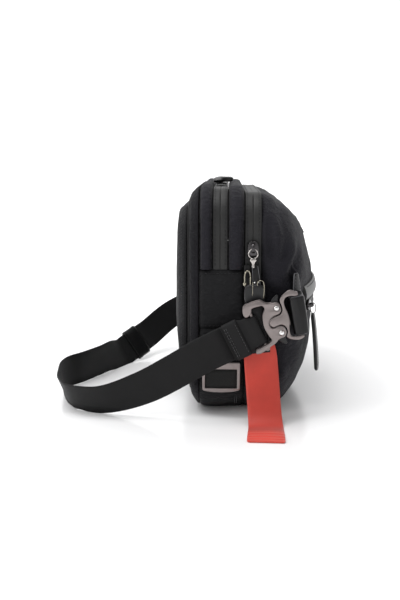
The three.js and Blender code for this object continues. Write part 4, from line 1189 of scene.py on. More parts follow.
def front_pocket():
    place(arc_sweep("pocket_tape_upper_visual", tape_section(94.87, 100.6, 95.57), 18.9, "tape"),
          "bag", "zip_tape", "pocket_zip_tape_upper")
    place(arc_sweep("pocket_tape_lower_visual", tape_section(88.4, 94.73, 94.03), 18.9, "tape"),
          "bag", "zip_tape", "pocket_zip_tape_lower")
    place(arc_sweep("pocket_welt_visual", closed_smooth(WELT, 0.8), 19.4, "welt"),
          "bag", "zip_tape", "pocket_welt")
    for end, side in (("near", -1), ("far", 1)):
        rings = []
        for angle, half_h, half_t in END_PATCH:
            a, b = flat_section(half_h, half_t, 11, 6).T
            rings.append(on_front(angle * DEG * side, 0.9 + b, 97.0 + a))
        place(grid_mesh("pocket_end_patch_" + end, rings, "welt", 50), "bag", "zip_tape")
    t = np.linspace(-18.4, 18.4, 90) * DEG
    outward = points(np.cos(t), np.sin(t), 0)
    rows = [(on_front(t, lift, z), outward)
            for z, lift in ((98.9, 1.25), (90.2, 1.25), (112.2, 1.75))]
    stitches("pocket_stitches", rows, "thread", "bag", "zip_tape")


def cut_corners(x, y, corner_x, corner_y, spacing):
    """smoothed rectangle reaching x, y; the corners are cut from corner_x to corner_y"""
    half = [(-corner_x, -y), (0, -y), (corner_x, -y), (x, -corner_y), (x, 0), (x, corner_y)]
    return closed_smooth(half + [(-a, -b) for a, b in half], spacing)


# (size factor, height)
LABEL_PROFILE = ((1.0, 0.0), (1.0, 0.9), (0.99, 1.35), (0.965, 1.4), (0.94, 1.05), (0.9, 1.0),
                 (0.5, 1.1), (0.05, 1.15))


def label():
    """thin leather patch with a raised rim on the upper slope of the front"""
    nx, nz = 0.883, 0.47
    at = local_frame((52.4 + nx * 0.4, 0, 163.6 + nz * 0.4), (0, 1, 0), (0.47, 0, -0.883),
                     (nx, 0, nz))
    outline = cut_corners(28, 9, 27, 8, spacing=1.2)
    centre = outline.mean(0)
    rings = []
    for size, height in LABEL_PROFILE:
        ring = centre + (outline - centre) * size
        rings.append(at(points(ring[:, 0], ring[:, 1], height)))
    place(grid_mesh("label_patch_visual", rings, "leather", 50), "bag", "leather", "label_patch")
    seam = cut_corners(26.2, 7.4, 25, 6.6, spacing=1.0)
    seam = np.concatenate([seam, seam[:1]])
    stitches("label_stitches", [(at(points(seam[:, 0], seam[:, 1], 1.08)), (nx, 0, nz))],
             "thread", "bag", "leather")


# ---------------------------------------------------------------- sliders and pullers
# in a slider's frame x is across the zip, y along it and z away from the bag
SLIDER = [(-2.6, -6.2), (0, -6.5), (2.6, -6.2), (4.2, -4.4), (4.9, -2.2), (4.8, 0.6), (4.4, 3.0),
          (3.2, 5.4), (1.8, 6.4), (0, 6.0), (-1.8, 6.4), (-3.2, 5.4), (-4.4, 3.0), (-4.8, 0.6),
          (-4.9, -2.2), (-4.2, -4.4)]
FORK = [(-1.2, -8.3), (0, -8.0), (1.2, -8.3), (2.6, -9.0), (2.9, -10.3), (2.0, -11.6),
        (1.2, -13.0), (1.35, -15.2), (1.2, -16.6), (0, -16.9), (-1.2, -16.6), (-1.35, -15.2),
        (-1.2, -13.0), (-2.0, -11.6), (-2.9, -10.3), (-2.6, -9.0)]
EYE_Y, EYE_Z = -0.4, 3.65       # where a ring hangs on the bridge


def laid_flat(move):
    """for plates: their z becomes local y, their -y local z"""
    return lambda v: move(points(v[:, 0], v[:, 2], -v[:, 1]))


def slider(name, at, body):
    """base plate and the arched bridge that the puller hangs from"""
    ob = plate(name + "_visual_plate", SLIDER, -0.35, -2.25, "slate", 0.55, move=laid_flat(at))
    place(ob, body, "slider_metal", name)
    t = np.linspace(0, 1, 23)
    from_mid = np.abs(2 * t - 1)
    path = points(0, -3.7 + 8.0 * t,
                  1.9 + 3.7 * np.power(np.clip(1 - from_mid ** 3.2, 0, 1), 0.6))
    section = np.repeat(flat_section(1.0, 0.42, 9, 3)[None], len(t), 0)
    section[..., 0] *= (1.25 + 0.35 * from_mid ** 2)[:, None]
    section[..., 1] -= 0.1
    ob = sweep(name + "_visual_bridge", path, (1, 0, 0), np.cross(tangents(path), (1, 0, 0)),
               section, "slate", 50, move=at)
    place(ob, body, "slider_metal")


def leather_tab(name, move, y0, y1, width0, width1, thickness, z, body, node,
                bow=0.0, tip=2.2, stitched=True):
    """leather puller tab from y0 to y1 with rounded corners and a groove near each edge"""
    length = abs(y1 - y0)
    t = np.linspace(0, 1, 27)
    from_end = np.minimum(t, 1 - t) * length
    half = (width0 + (width1 - width0) * smooth01(t)) / 2
    corner = np.minimum(from_end, tip)
    half = half - tip + np.sqrt(np.maximum(tip ** 2 - (tip - corner) ** 2, 0.02))
    height = thickness / 2 * (0.72 + 0.28 * smooth01(from_end / 3.5))
    middle = z + bow * np.sin(np.pi * t)
    sections = []
    for w, h in zip(half, height):
        section = flat_section(max(w, 0.15), h, 15, 10)
        section[:, 1] *= 1 - 0.14 * bell(np.abs(section[:, 0]), max(w - 1.3, 0), 0.35)
        sections.append(section)
    ob = sweep(name, points(0, y0 + (y1 - y0) * t, middle), (1, 0, 0), (0, 0, 1),
               sections, "leather", 60, move=move)
    place(ob, body, "leather", node)
    if not stitched:
        return
    at = np.linspace(0.1, 0.93, 40)
    top = np.interp(at, t, middle) + np.interp(at, t, height) * 0.9
    rows = []
    for side in (-1, 1):
        seam = points(side * (np.interp(at, t, half) - 1.3), y0 + (y1 - y0) * at, top)
        rows.append((move(seam), move(seam + (0, 0, 1.0)) - move(seam)))
    stitches(name + "_stitches", rows, "thread", body, "leather", length=1.7, gap=0.8, radius=0.2)


def turned(y, z, pitch, roll=0.0):
    """rotation about (0, y, z): roll about local z, then pitch about local x; degrees"""
    cp, sp = math.cos(pitch * DEG), math.sin(pitch * DEG)
    cr, sr = math.cos(roll * DEG), math.sin(roll * DEG)
    matrix = (np.array([[1, 0, 0], [0, cp, -sp], [0, sp, cp]])
              @ np.array([[cr, -sr, 0], [sr, cr, 0], [0, 0, 1]]))
    centre = np.array([0, y, z])
    return lambda v: (np.asarray(v, float) - centre) @ matrix.T + centre


def puller_ring(length, half_w):
    t = np.linspace(0, 2 * math.pi, 28, endpoint=False)
    return points(half_w * np.sin(t), EYE_Y - length / 2 + length / 2 * np.cos(t), EYE_Z)


def main_puller():
    """on the top, towards the near end"""
    at = local_frame((MAIN_ZIP_X, -22, TOP_MAIN_ZIP), (1, 0, 0), (0, 1, 0), (0, 0, 1))
    slider("main_slider", at, "main_slider")
    ring = at(turned(EYE_Y, EYE_Z, -3.5, -34)(puller_ring(7.6, 3.7)))
    place(wire("main_ring_visual", ring, 0.62, "gun", closed=True),
          "main_puller", "gunmetal", "main_puller_ring")
    swing = turned(-7.4, EYE_Z, -3.8, 24)
    leather_tab("main_tab_visual", lambda v: at(swing(v) + (-5.2, 0.6, 0.1)), -7.6, -36, 8.0,
                12.2, 5.0, 4.0, "main_puller", "main_puller_tab", bow=0.5)


def front_puller():
    """on the near end; ring, metal fork, slim tab with painted edges and two rivets"""
    body = "front_puller"
    at = local_frame((FRONT_ZIP_X, -(HALF_W - 1.0), 151.5), (1, 0, 0), (0, 0, 1), (0, -1, 0))
    slider("front_slider", at, "front_slider")
    hang, swing = turned(EYE_Y, EYE_Z, -2), turned(EYE_Y, EYE_Z, -2, 6)
    place(wire("front_ring_visual", at(hang(puller_ring(8.2, 4.0))), 0.55, "ring", closed=True),
          body, "gunmetal", "front_puller_ring")
    ob = plate("front_fork_visual", FORK, -2.35, -4.95, "ring", 0.8,
               move=laid_flat(lambda v: at(hang(v))))
    place(ob, body, "rivet_steel", "front_puller_fork")
    on_tab = lambda v: at(swing(v))
    leather_tab("front_tab_visual", on_tab, -14.8, -31.8, 5.2, 6.6, 2.8, 3.7,
                body, "front_puller_tab", stitched=False, tip=1.4)
    y = np.linspace(-15.6, -31.0, 16)
    for end, side in (("left", -1), ("right", 1)):
        edge = points(side * np.interp(y, [-31.0, -15.6], [3.1, 2.45]), y, 4.75)
        place(rod("front_tab_edge_" + end, on_tab(edge), 0.34, "edge", 8), body, "leather")
    profile = [(0.01, -0.6), (0.8, -0.6), (0.85, 0.15), (0.7, 0.42), (0.4, 0.58), (0.01, 0.62)]
    for k, x in enumerate((-1.5, 1.5)):
        foot, above = on_tab([[x, -29.2, 5.0], [x, -29.2, 6.0]])
        ob = lathe("front_tab_rivet_%d" % k, foot, above - foot, profile, "steel", 14)
        place(ob, body, "rivet_steel")


def pocket_puller():
    """on the bowed front, near the -y end of the pocket; the tab hangs down"""
    angle = -17.0 * DEG
    out = np.array([math.cos(angle), math.sin(angle), 0])
    along = np.array([math.sin(angle), -math.cos(angle), 0])
    at = local_frame(on_front(angle, 1.45, 94.8), (0, 0, 1), along, out)
    slider("pocket_slider", at, "pocket_slider")
    t = np.linspace(0, 2 * math.pi, 24, endpoint=False)
    ring = at(points(-2.7 + 5.0 * np.cos(t), 0.15, 5.5 + 2.45 * np.sin(t)))
    place(wire("pocket_ring_visual", ring, 0.4, "gun", closed=True),
          "pocket_puller", "gunmetal", "pocket_puller_ring")
    lean = math.tan(5.2 * DEG)

    def hanging(v):
        x, y, z = v.T
        return at(points(y, 0.15 - x, z + 5.4 - (y + 9) * lean))

    leather_tab("pocket_tab_visual", hanging, -7.4, -61, 8.2, 9.4, 3.4, 0.0,
                "pocket_puller", "pocket_puller_tab", tip=2.0, bow=0.5)


# ---------------------------------------------------------------- belt
# the belt's end runs along a line tilted in x, z, starting at the buckle's strap bar
TILT = 27 * DEG
STRAP_UP = (-math.sin(TILT), 0, math.cos(TILT))
STRAP = local_frame((10.1, 0, 82.9), (math.cos(TILT), 0, math.sin(TILT)), (0, 1, 0), STRAP_UP)


def on_strap(s, y, t=0.0):
    """s along the tilted line, t across it"""
    return STRAP(points(s, y, t))


ADJ_A, ADJ_B = np.array([-130.3, 64, 15.2]), np.array([-114.4, 92, 23.4])
ADJ_RUN = ADJ_B - ADJ_A
# centre line point, direction of the width
BELT = [
    (on_strap(-16, -139.7), STRAP_UP), (on_strap(-34, -139.7), STRAP_UP),
    (on_strap(-54, -139.5), STRAP_UP), ([-59, -138.4, 45.6], [-0.46, -0.03, 0.89]),
    ([-91, -135.6, 27.6], [-0.36, -0.14, 0.92]), ([-128, -132.2, 15.2], [-0.1, -0.43, 0.9]),
    ([-156.5, -122.6, 14.4], [-0.3, -0.4, 0.86]), ([-167.6, -106.4, 15.0], [-0.33, -0.23, 0.91]),
    ([-173.6, -87, 15.9], [-0.2, -0.08, 0.97]), ([-178.6, -61, 16.3], [-0.06, 0, 1]),
    ([-176, -41, 16.3], [0, 0, 1]), ([-166, -24, 16.3], [0, 0, 1]), ([-153.5, 3, 16.3], [0, 0, 1]),
    ([-144.5, 26, 16.1], [-0.12, 0, 0.99]), (ADJ_A - ADJ_RUN * 0.3, [-0.5, 0, 0.86]),
    (ADJ_A, [-0.6, 0, 0.8]), (ADJ_B, [-0.6, 0, 0.8]), (ADJ_B + ADJ_RUN * 0.3, [-0.58, 0, 0.81]),
    ([-84, 123, 44.5], [-0.5, -0.05, 0.86]), ([-44, 134, 62.5], [-0.39, 0, 0.92]),
    ([-4, 135.5, 79.5], [-0.39, 0, 0.92]), ([20, 135, 90], [-0.4, 0, 0.92]),
    ([33, 133, 95.6], [-0.36, 0.2, 0.92]), ([41.2, 129.4, 98.6], [-0.3, 0.32, 0.9]),
    ([48.2, 121.6, 101], [-0.26, 0.34, 0.9])]


def belt_frames(count=260):
    """centre line of the belt, its width direction and its normal"""
    controls = np.array([point for point, _ in BELT], float)
    widths = unit(np.array([width for _, width in BELT], float))
    centre = spline(controls, count)
    at = np.linspace(0, 1, count) * (len(controls) - 1)
    first = np.clip(at.astype(int), 0, len(controls) - 2)
    part = at - first
    blend = (smooth01(part) * 0.5 + part * 0.5)[:, None]
    width = widths[first] * (1 - blend) + widths[first + 1] * blend
    for _ in range(10):     # evens out the twist
        width[1:-1] = (width[:-2] + width[1:-1] * 2 + width[2:]) / 4
    along = tangents(centre)
    width = unit(width - along * np.sum(width * along, 1, keepdims=True))
    return centre, width, np.cross(along, width)


def belt():
    centre, width, normal = belt_frames()
    section = flat_section(16.0, 0.78, 23, 12, selvedge=0.12)
    run = run_length(centre)
    free = smooth01((run - 40) / 30) * smooth01((run[-1] - 30 - run) / 30)
    sections = np.repeat(section[None], len(centre), 0)
    waves = fbm(points((run / 34)[:, None], section[:, 0] / 20, 2.2), 61, 2)
    sections[..., 1] += 0.45 * waves * free[:, None]
    ob = sweep("waist_strap_visual", centre, width, normal, sections, "web", 60)
    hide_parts("waist_strap")
    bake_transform(ob)


def sleeve(stations, swell, outer, inner, count, at):
    """closed flat sleeve; outer and inner: half width, half height, power, swell factor"""
    def skin(half_w, half_h, power, amount):
        return np.array([at(s, *flat_section(half_w + g * amount, half_h + g * amount,
                                             count, power).T)
                         for s, g in zip(stations, swell)])

    return np.concatenate([skin(*outer), skin(*inner)[::-1]])


def adjuster():
    """flat metal sleeve round the belt"""
    along = unit(ADJ_RUN)
    width = np.array([-0.6, 0, 0.8])
    width = unit(width - along * np.dot(width, along))
    frame_at = local_frame((ADJ_A + ADJ_B) / 2, along, width, np.cross(along, width))
    stations = [-10.6, -10.2, -9.2, -7.0, -3.0, 0, 3.0, 7.0, 9.2, 10.2, 10.6]
    swell = [-0.55, -0.15, 0.25, 0.1, -0.1, -0.15, -0.1, 0.1, 0.25, -0.15, -0.55]
    rings = sleeve(stations, swell, (18.0, 2.55, 9, 1.0), (16.9, 1.3, 14, 0.0), 21,
                   lambda s, a, b: frame_at(points(s, a, b)))
    ob = grid_mesh("strap_adjuster_visual", rings, "black_metal", 50, wrap_rows=True)
    place(ob, "strap_adjuster", "black_metal", "strap_adjuster")


def belt_end():
    """webbing folded round the strap bar, drawn in (s, y)"""
    flat_s = np.concatenate([[-29.5], np.linspace(-26, -15, 6)])
    near_s = np.linspace(-13.5, -3, 8)
    turn = np.linspace(-80, 80, 15) * DEG
    far_s = near_s[::-1]
    back_s = np.concatenate([np.linspace(-15, -27, 6), [-29.5]])
    fold = np.concatenate([
        points(flat_s, -144.3),
        points(near_s, -144.3 - 3.8 * smooth01((near_s + 14) / 12)),
        points(2.55 * np.cos(turn), -145.8 + 2.55 * np.sin(turn)),
        points(far_s, -143.3 + smooth01((-3 - far_s) / 10)),
        points(back_s, -142.15)])
    path = spline(fold, 120)
    along = tangents(path)
    s, y = path[:, :1], path[:, 1:]
    # the width narrows towards the bar, more on the lower edge
    upper = 16.0 - 1.6 * smooth01((s + 15) / 6) - 0.9 * smooth01((s + 6) / 5)
    lower = 16.0 - 2.4 * smooth01((s + 15) / 6) - 1.0 * smooth01((s + 6) / 5)
    a, b = flat_section(1.0, 0.68, 17, 12).T
    rings = on_strap(s + along[:, 1:] * b, y - along[:, :1] * b, a * np.where(a > 0, upper, lower))
    around = np.concatenate([[0], np.cumsum(np.abs(np.diff(a * 16)))])
    uv = points(run_length(path)[:, None], around)
    place(grid_mesh("belt_end_visual", rings, "web", 60, uv),
          "buckle_female", "webbing", "strap_end_loop")


def keeper():
    """band round all layers of the belt's end, with rows of stitches on its near face"""
    stations = np.array([-27.6, -27.2, -26.2, -24.0, -21.0, -18.0, -15.8, -14.8, -14.4])
    swell = [-0.55, -0.1, 0.1, 0.2, 0.28, 0.2, 0.1, -0.1, -0.55]
    rings = sleeve(stations, swell, (17.1, 2.75, 16, 0.45), (16.4, 2.2, 18, 0.0), 25,
                   lambda s, a, b: on_strap(s, -143.2 - b, a))
    uv = points(np.arange(rings.shape[1]) * 1.5,
                np.concatenate([stations, stations[::-1]])[:, None])
    place(grid_mesh("keeper_visual", rings, "binding", 60, uv, wrap_rows=True),
          "buckle_female", "webbing", "strap_keeper")
    across = np.linspace(-15.8, 15.8, 30)
    rows = [(on_strap(s, -146.12, across), (0, -1, 0)) for s in (-26.3, -24.6, -16.0)]
    stitches("keeper_stitches", rows, "thread_grey", "buckle_female", "webbing",
             length=1.9, gap=0.9, radius=0.22)


# ---------------------------------------------------------------- buckle
# outlines in (x, z), seen from the near end
RIVETS = {"upper": (24.9, 102.8), "lower": (29.7, 81.6)}
FEMALE = [
    (-3.7, 102.2), (-3.2, 96.4), (-1.2, 94.4), (1.3, 95.4), (3.2, 98.7), (3.8, 101.8),
    (9.9, 104.1), (12.5, 104.5), (14.2, 103.2), (14.7, 101.0), (13.3, 96.1), (13.6, 90.4),
    (15.4, 84.6), (19.0, 78.4), (21.6, 74.4), (17.2, 70.8), (12.6, 68.1), (8.7, 65.2),
    (8.4, 62.8), (11.7, 62.9), (20.8, 69.3), (24.7, 72.2), (27.6, 75.8), (32.4, 78.3),
    (33.8, 81.2), (33.6, 83.9), (31.9, 86.5), (29.4, 87.5), (27.0, 87.0), (22.7, 85.3),
    (20.3, 86.2), (18.7, 89.5), (19.3, 92.9), (22.1, 95.6), (27.3, 98.1), (28.9, 101.1),
    (28.2, 104.2), (26.2, 107.2), (23.6, 107.7), (18.5, 106.5), (14.6, 107.2), (11.1, 108.9),
    (0.8, 105.8), (-2.2, 104.4)]
MALE = [
    (19.5, 89.6), (20.9, 87.1), (22.8, 86.3), (26.9, 88.0), (29.6, 88.6), (32.5, 87.4),
    (34.5, 84.2), (34.8, 81.2), (33.9, 78.6), (35.9, 76.8), (39.4, 75.7), (45.9, 76.0),
    (49.2, 78.8), (48.2, 79.9), (44.5, 78.9), (39.6, 78.5), (37.6, 79.8), (36.4, 85.2),
    (36.2, 92.8), (34.8, 98.1), (32.1, 104.2), (31.1, 108.6), (32.0, 111.5), (35.7, 113.4),
    (41.2, 113.7), (42.2, 114.9), (39.6, 117.7), (35.5, 118.5), (32.1, 116.5), (28.3, 112.1),
    (27.5, 109.3), (29.0, 105.0), (29.9, 101.0), (28.1, 97.3), (22.8, 94.8), (20.3, 92.4)]
# from here in (u, v) about the buckle's middle, u turned up from +x by BUCKLE_TILT
BUCKLE_MID = (27.3, 92.2)
BUCKLE_TILT = 16 * DEG
TONGUE = [(8.0, 6.8), (4.4, 5.4), (1.0, 4.2), (-5.5, 4.2), (-6.6, 3.5), (-8.0, 3.5),
          (-9.0, 4.1), (-11.2, 3.3), (-12.3, 1.2)]
TONGUE += [(u, -v) for u, v in TONGUE[::-1]]
LEVER_INNER = [(4.0, 10.2), (3.0, 7.7), (0.4, 7.0), (-5.0, 6.1), (-9.4, 5.2), (-10.4, 6.4),
               (-9.2, 8.4)]
LEVERS = {      # side of the middle, outline
    "upper": (1, LEVER_INNER + [(-3.4, 10.6), (-2.6, 12.6), (-1.6, 15.0), (-2.4, 17.0),
                                (-0.6, 19.2), (3.6, 21.4), (4.6, 20.4), (3.4, 16.5), (3.6, 13.0)]),
    "lower": (-1, LEVER_INNER + [(-4.0, 10.6), (-3.6, 12.6), (-3.8, 15.0), (-4.4, 17.0),
                                 (-2.8, 19.4), (0.4, 22.0), (1.6, 21.2), (1.4, 16.5),
                                 (2.4, 13.0)])}
RIVET_PROFILE = [(0.01, 9.0), (1.9, 9.0), (2.0, 8.6), (2.05, 0.4), (2.15, 0.15), (2.15, -0.35),
                 (2.0, -0.62), (1.75, -0.72), (1.55, -0.62), (1.2, -0.72), (0.6, -0.84),
                 (0.01, -0.88)]
LUG_PROFILE = [(0.01, 0.0), (1.95, 0.0), (2.15, 0.2), (2.15, 3.5), (1.95, 3.7), (0.01, 3.7)]


def from_buckle_mid(outline, side=1):
    u, v = np.array(outline).T
    cos, sin = math.cos(BUCKLE_TILT), math.sin(BUCKLE_TILT)
    v = v * side
    return BUCKLE_MID + points(cos * u - sin * v, sin * u + cos * v)


def buckle_plates():
    holes = [(*at, 2.25) for at in RIVETS.values()]
    place(plate("female_front_visual", FEMALE, -147.6, -150.15, "gun", 0.62, holes),
          "buckle_female", "gunmetal", "buckle_female_front")
    place(plate("female_back_visual", FEMALE, -142.0, -144.0, "gun", 0.45, holes),
          "buckle_female", "gunmetal", "buckle_female_back")
    place(plate("male_plate_visual", MALE, -147.6, -150.15, "gun", 0.62),
          "bag", "gunmetal", "buckle_male_plate")
    place(plate("male_tongue_visual", from_buckle_mid(TONGUE), -144.5, -147.6, "gun", 0.35),
          "bag", "gunmetal")


def buckle_levers():
    for name, (x, z) in RIVETS.items():
        ob = lathe("rivet_%s_visual" % name, (x, -150.05, z), (0, 1, 0), RIVET_PROFILE,
                   "steel", 32)
        place(ob, "buckle_female", "rivet_steel", "rivet_" + name)
    t = np.linspace(0, 2 * math.pi * 2.75, 80)      # turns of the torsion spring
    for name, (side, outline) in LEVERS.items():
        x, z = RIVETS[name]
        body = "lever_" + name
        ob = plate("lever_%s_visual" % name, from_buckle_mid(outline, side), -145.35, -147.25,
                   "black_metal", 0.5, [(x, z, 2.35)])
        place(ob, body, "black_metal", body)
        coil = points(x + 2.8 * np.cos(t), -144.35 - 0.62 * t / t[-1], z + 2.8 * np.sin(t))
        place(wire("lever_spring_%s_visual" % name, coil, 0.14, "steel", 6),
              body, "rivet_steel", "lever_spring_" + name)


def buckle_bars():
    """webbing and leather bars, and the lugs that carry them between the plates"""
    bar_y = -145.8
    for name, top, bottom, body in (
            ("strap_bar", on_strap(0, bar_y, 19.0), on_strap(0, bar_y, -18.2), "buckle_female"),
            ("tab_bar", (40.6, bar_y, 115.6), (46.9, bar_y, 77.7), "bag")):
        place(rod(name + "_visual", np.linspace(top, bottom, 12), 1.42, "gun", 16),
              body, "gunmetal", "buckle_" + name)
    lug_y = -144.0
    for name, centre, body in (("lug_a", on_strap(0, lug_y, 18.6), "buckle_female"),
                               ("lug_b", on_strap(0, lug_y, -17.6), "buckle_female"),
                               ("lug_c", (40.8, lug_y, 114.9), "bag"),
                               ("lug_d", (46.6, lug_y, 78.6), "bag")):
        place(lathe("buckle_" + name, centre, (0, -1, 0), LUG_PROFILE, "gun", 24),
              body, "gunmetal")


# ---------------------------------------------------------------- leather roll, anchor patches
ROLL_HALF = 16.3
# (height along the roll, inset)
ROLL_STATIONS = [
    (-ROLL_HALF, 0.75), (-ROLL_HALF + 0.25, 0.35), (-ROLL_HALF + 0.7, 0.08),
    (-ROLL_HALF + 1.5, 0.0), (-10, 0.0), (-5, -0.12), (0, -0.16), (5, -0.12), (10, 0.0),
    (ROLL_HALF - 1.5, 0.0), (ROLL_HALF - 0.7, 0.08), (ROLL_HALF - 0.25, 0.35), (ROLL_HALF, 0.75)]
# the neck that runs from the roll back to the bag, in (across, depth)
ROLL_NECK = [(6.9, 6.0), (7.0, 12.0), (7.0, 19.5), (6.9, 25.0), (4.6, 23.4), (1.6, 19.6),
             (-0.9, 16.4), (-3.2, 11.5), (-5.0, 6.0)]


def leather_roll():
    """roll round the male bar; local x across, y towards the bag, z along the roll"""
    tilt = -9.4 * DEG
    across = np.array([math.cos(tilt), 0, -math.sin(tilt)])
    at = local_frame((43.75, -145.8, 96.4), across, (0, 1, 0), (math.sin(tilt), 0, math.cos(tilt)))
    barrel = [((6.4 if math.cos(t) < 0 else 7.0) * math.cos(t),
               4.7 * math.sin(t) * (1.0 + 0.05 * math.cos(3 * t)))
              for t in np.linspace(150, 390, 17) * DEG]
    outline = closed_smooth(barrel + ROLL_NECK, 0.7)
    normals = loop_normals(outline)
    rings = []
    for z, inset in ROLL_STATIONS:
        ring = outline - normals * inset
        ring = ring + normals * (0.14 * np.sin(ring[:, :1] * 1.1 + z * 0.08))
        rings.append(at(points(ring[:, 0], ring[:, 1], z)))
    place(grid_mesh("leather_roll_visual", rings, "leather", 40),
          "bag", "leather", "near_leather_tab")
    # painted edges: the lapped layers show as a spiral at both ends
    t, radius = np.linspace(160, 560, 44) * DEG, np.linspace(4.0, 2.5, 44)
    for end, z in (("low", -ROLL_HALF - 0.05), ("high", ROLL_HALF + 0.05)):
        spiral = at(points(radius * 1.42 * np.cos(t), radius * np.sin(t), z))
        place(rod("leather_roll_edge_" + end, spiral, 0.55, "edge", 8), "bag", "leather")
    seam = at(points(-5.3, 4.6, np.linspace(-14.6, 14.6, 30)))
    stitches("leather_roll_stitches", [(seam, -across)], "thread_grey", "bag", "leather",
             length=2.2, gap=1.1, radius=0.26)


def anchor_patches():
    """leather patches on both sides of the front panel, with painted edge and stitching"""
    z = np.array([75.6, 77.5, 82, 88, 96, 104, 112, 118, 123, 127, 128.8])
    half_w = np.interp(z, [75.6, 77, 86, 104, 118, 128, 128.8],
                       [4.4, 5.8, 6.6, 6.2, 5.0, 3.2, 2.4])
    shift = 4.6 - (z - 77) * 0.15
    a, b = flat_section(1.0, 0.8, 15, 10).T
    surface = points(a * half_w[:, None] + shift[:, None], 1.4 + b + 0.5 + 0.5 * (1 - a * a),
                     z[:, None])

    def outline(width, height, lift):
        """up one side and down the other, with the width and height scaled"""
        heights = 102 + (z - 102) * height
        return np.concatenate([points(half_w * width + shift, lift, heights),
                               points(-half_w * width + shift, lift, heights)[::-1]])

    for end, side in (("near", -1), ("far", 1)):
        out = (0.794, side * 0.607, 0)
        at = local_frame((43.4, side * 119.2, 0), (0.607, side * -0.794, 0), out, (0, 0, 1))
        name = "tab_patch_" + end
        place(grid_mesh(name + "_visual", at(surface), "leather", 60),
              "bag", "leather", end + "_tab_patch")
        place(wire(name + "_edge", at(outline(1.0, 1.0, 1.9)), 0.62, "edge", 8, True),
              "bag", "leather")
        seam = at(outline(0.78, 0.94, 2.9))
        seam = np.concatenate([seam, seam[:1]])
        stitches(name + "_stitches", [(seam, out)], "thread_grey", "bag", "leather",
                 length=2.0, gap=1.0, radius=0.24)


# ---------------------------------------------------------------- badge
BADGE_OUTER = [
    (-38.6, 24.8), (-34.5, 23.9), (-30, 23.3), (-22, 23.0), (-13, 23.5), (-9, 24.2),
    (-5.2, 25.2), (-5.1, 32), (-5.1, 44), (-5.2, 50.4), (-12, 50.5), (-22, 50.5), (-32, 50.5),
    (-38.6, 50.4), (-38.8, 44), (-38.8, 32)]
BADGE_INNER = [(-36.3, 27.0), (-36.3, 44.2), (-8.0, 44.2), (-8.0, 27.0)]
BADGE_PROFILE = [(0.5, -132.5), (0.15, -132.35), (0.0, -132.0), (0.0, -130.5), (0.1, -130.42),
                 (0.2, -130.4)]     # (inset, y)


def round_corners(outline, radius):
    """rounds the real corners and leaves points on a nearly straight run"""
    outline = np.array(outline, float)
    out = []
    for before, corner, after in zip(np.roll(outline, 1, 0), outline, np.roll(outline, -1, 0)):
        back, ahead = unit(before - corner), unit(after - corner)
        if np.dot(back, ahead) < -0.9:
            out.append(corner)
            continue
        p, q = corner + back * radius, corner + ahead * radius
        out += [(1 - t) ** 2 * p + 2 * t * (1 - t) * corner + t * t * q
                for t in np.linspace(0, 1, 5)]
    return np.array(out)


def badge():
    """metal frame low on the near end, with a domed, ribbed insert"""
    loops = [round_corners(BADGE_OUTER, 1.6), round_corners(BADGE_INNER, 0.7)]
    ob = mesh_obj("badge_frame_visual", *extrude_loops(loops, BADGE_PROFILE), "gun", None, 35)
    place(ob, "bag", "gunmetal", "badge_frame")
    x, z = np.meshgrid(np.linspace(-36.1, -8.2, 57), np.linspace(27.2, 44.0, 35))
    margin = np.minimum(np.minimum(x + 36.1, -8.2 - x), np.minimum(z - 27.2, 44.0 - z))
    height = (0.35 * smooth01(margin / 3)
              + 0.07 * np.sin((x + z) * 2.6) * smooth01((margin - 1.5) / 1.5))
    rows = skins(points(x, -131.3 - height, z), points(x, -130.4, z))
    place(grid_mesh("badge_insert_visual", rows, "panel", 40), "bag", "black_metal", "badge_panel")


# ---------------------------------------------------------------- ribbon tag
CLASP_Y = -135.2
CLASP = [(-1.6, 107.0), (-0.6, 105.0), (1.2, 104.2), (6.8, 103.9), (12.4, 104.2), (14.2, 105.0),
         (15.2, 107.0), (15.5, 112), (15.2, 117.0), (14.2, 119.2), (12.4, 120.1), (6.8, 120.5),
         (1.2, 120.1), (-0.6, 119.2), (-1.6, 117.0), (-1.9, 112)]
HOOK = [(-2.0, 119.6), (-2.05, 124), (-2.0, 128.4), (-1.3, 131.3), (0.4, 132.6), (2.1, 131.4),
        (2.8, 128.8)]       # (x, z)
BAIL = [(9.2, -136.4, 119.4), (9.0, -137.0, 122.2), (10.8, -137.2, 124.4), (13.4, -137.2, 124.0),
        (14.6, -137.2, 121.0), (14.7, -137.4, 113.0), (14.4, -137.2, 109.4)]
COLLAR = [(0.01, -1.3), (1.5, -1.3), (1.75, -1.0), (1.75, 0.9), (1.5, 1.2), (0.8, 1.3),
          (0.01, 1.3)]


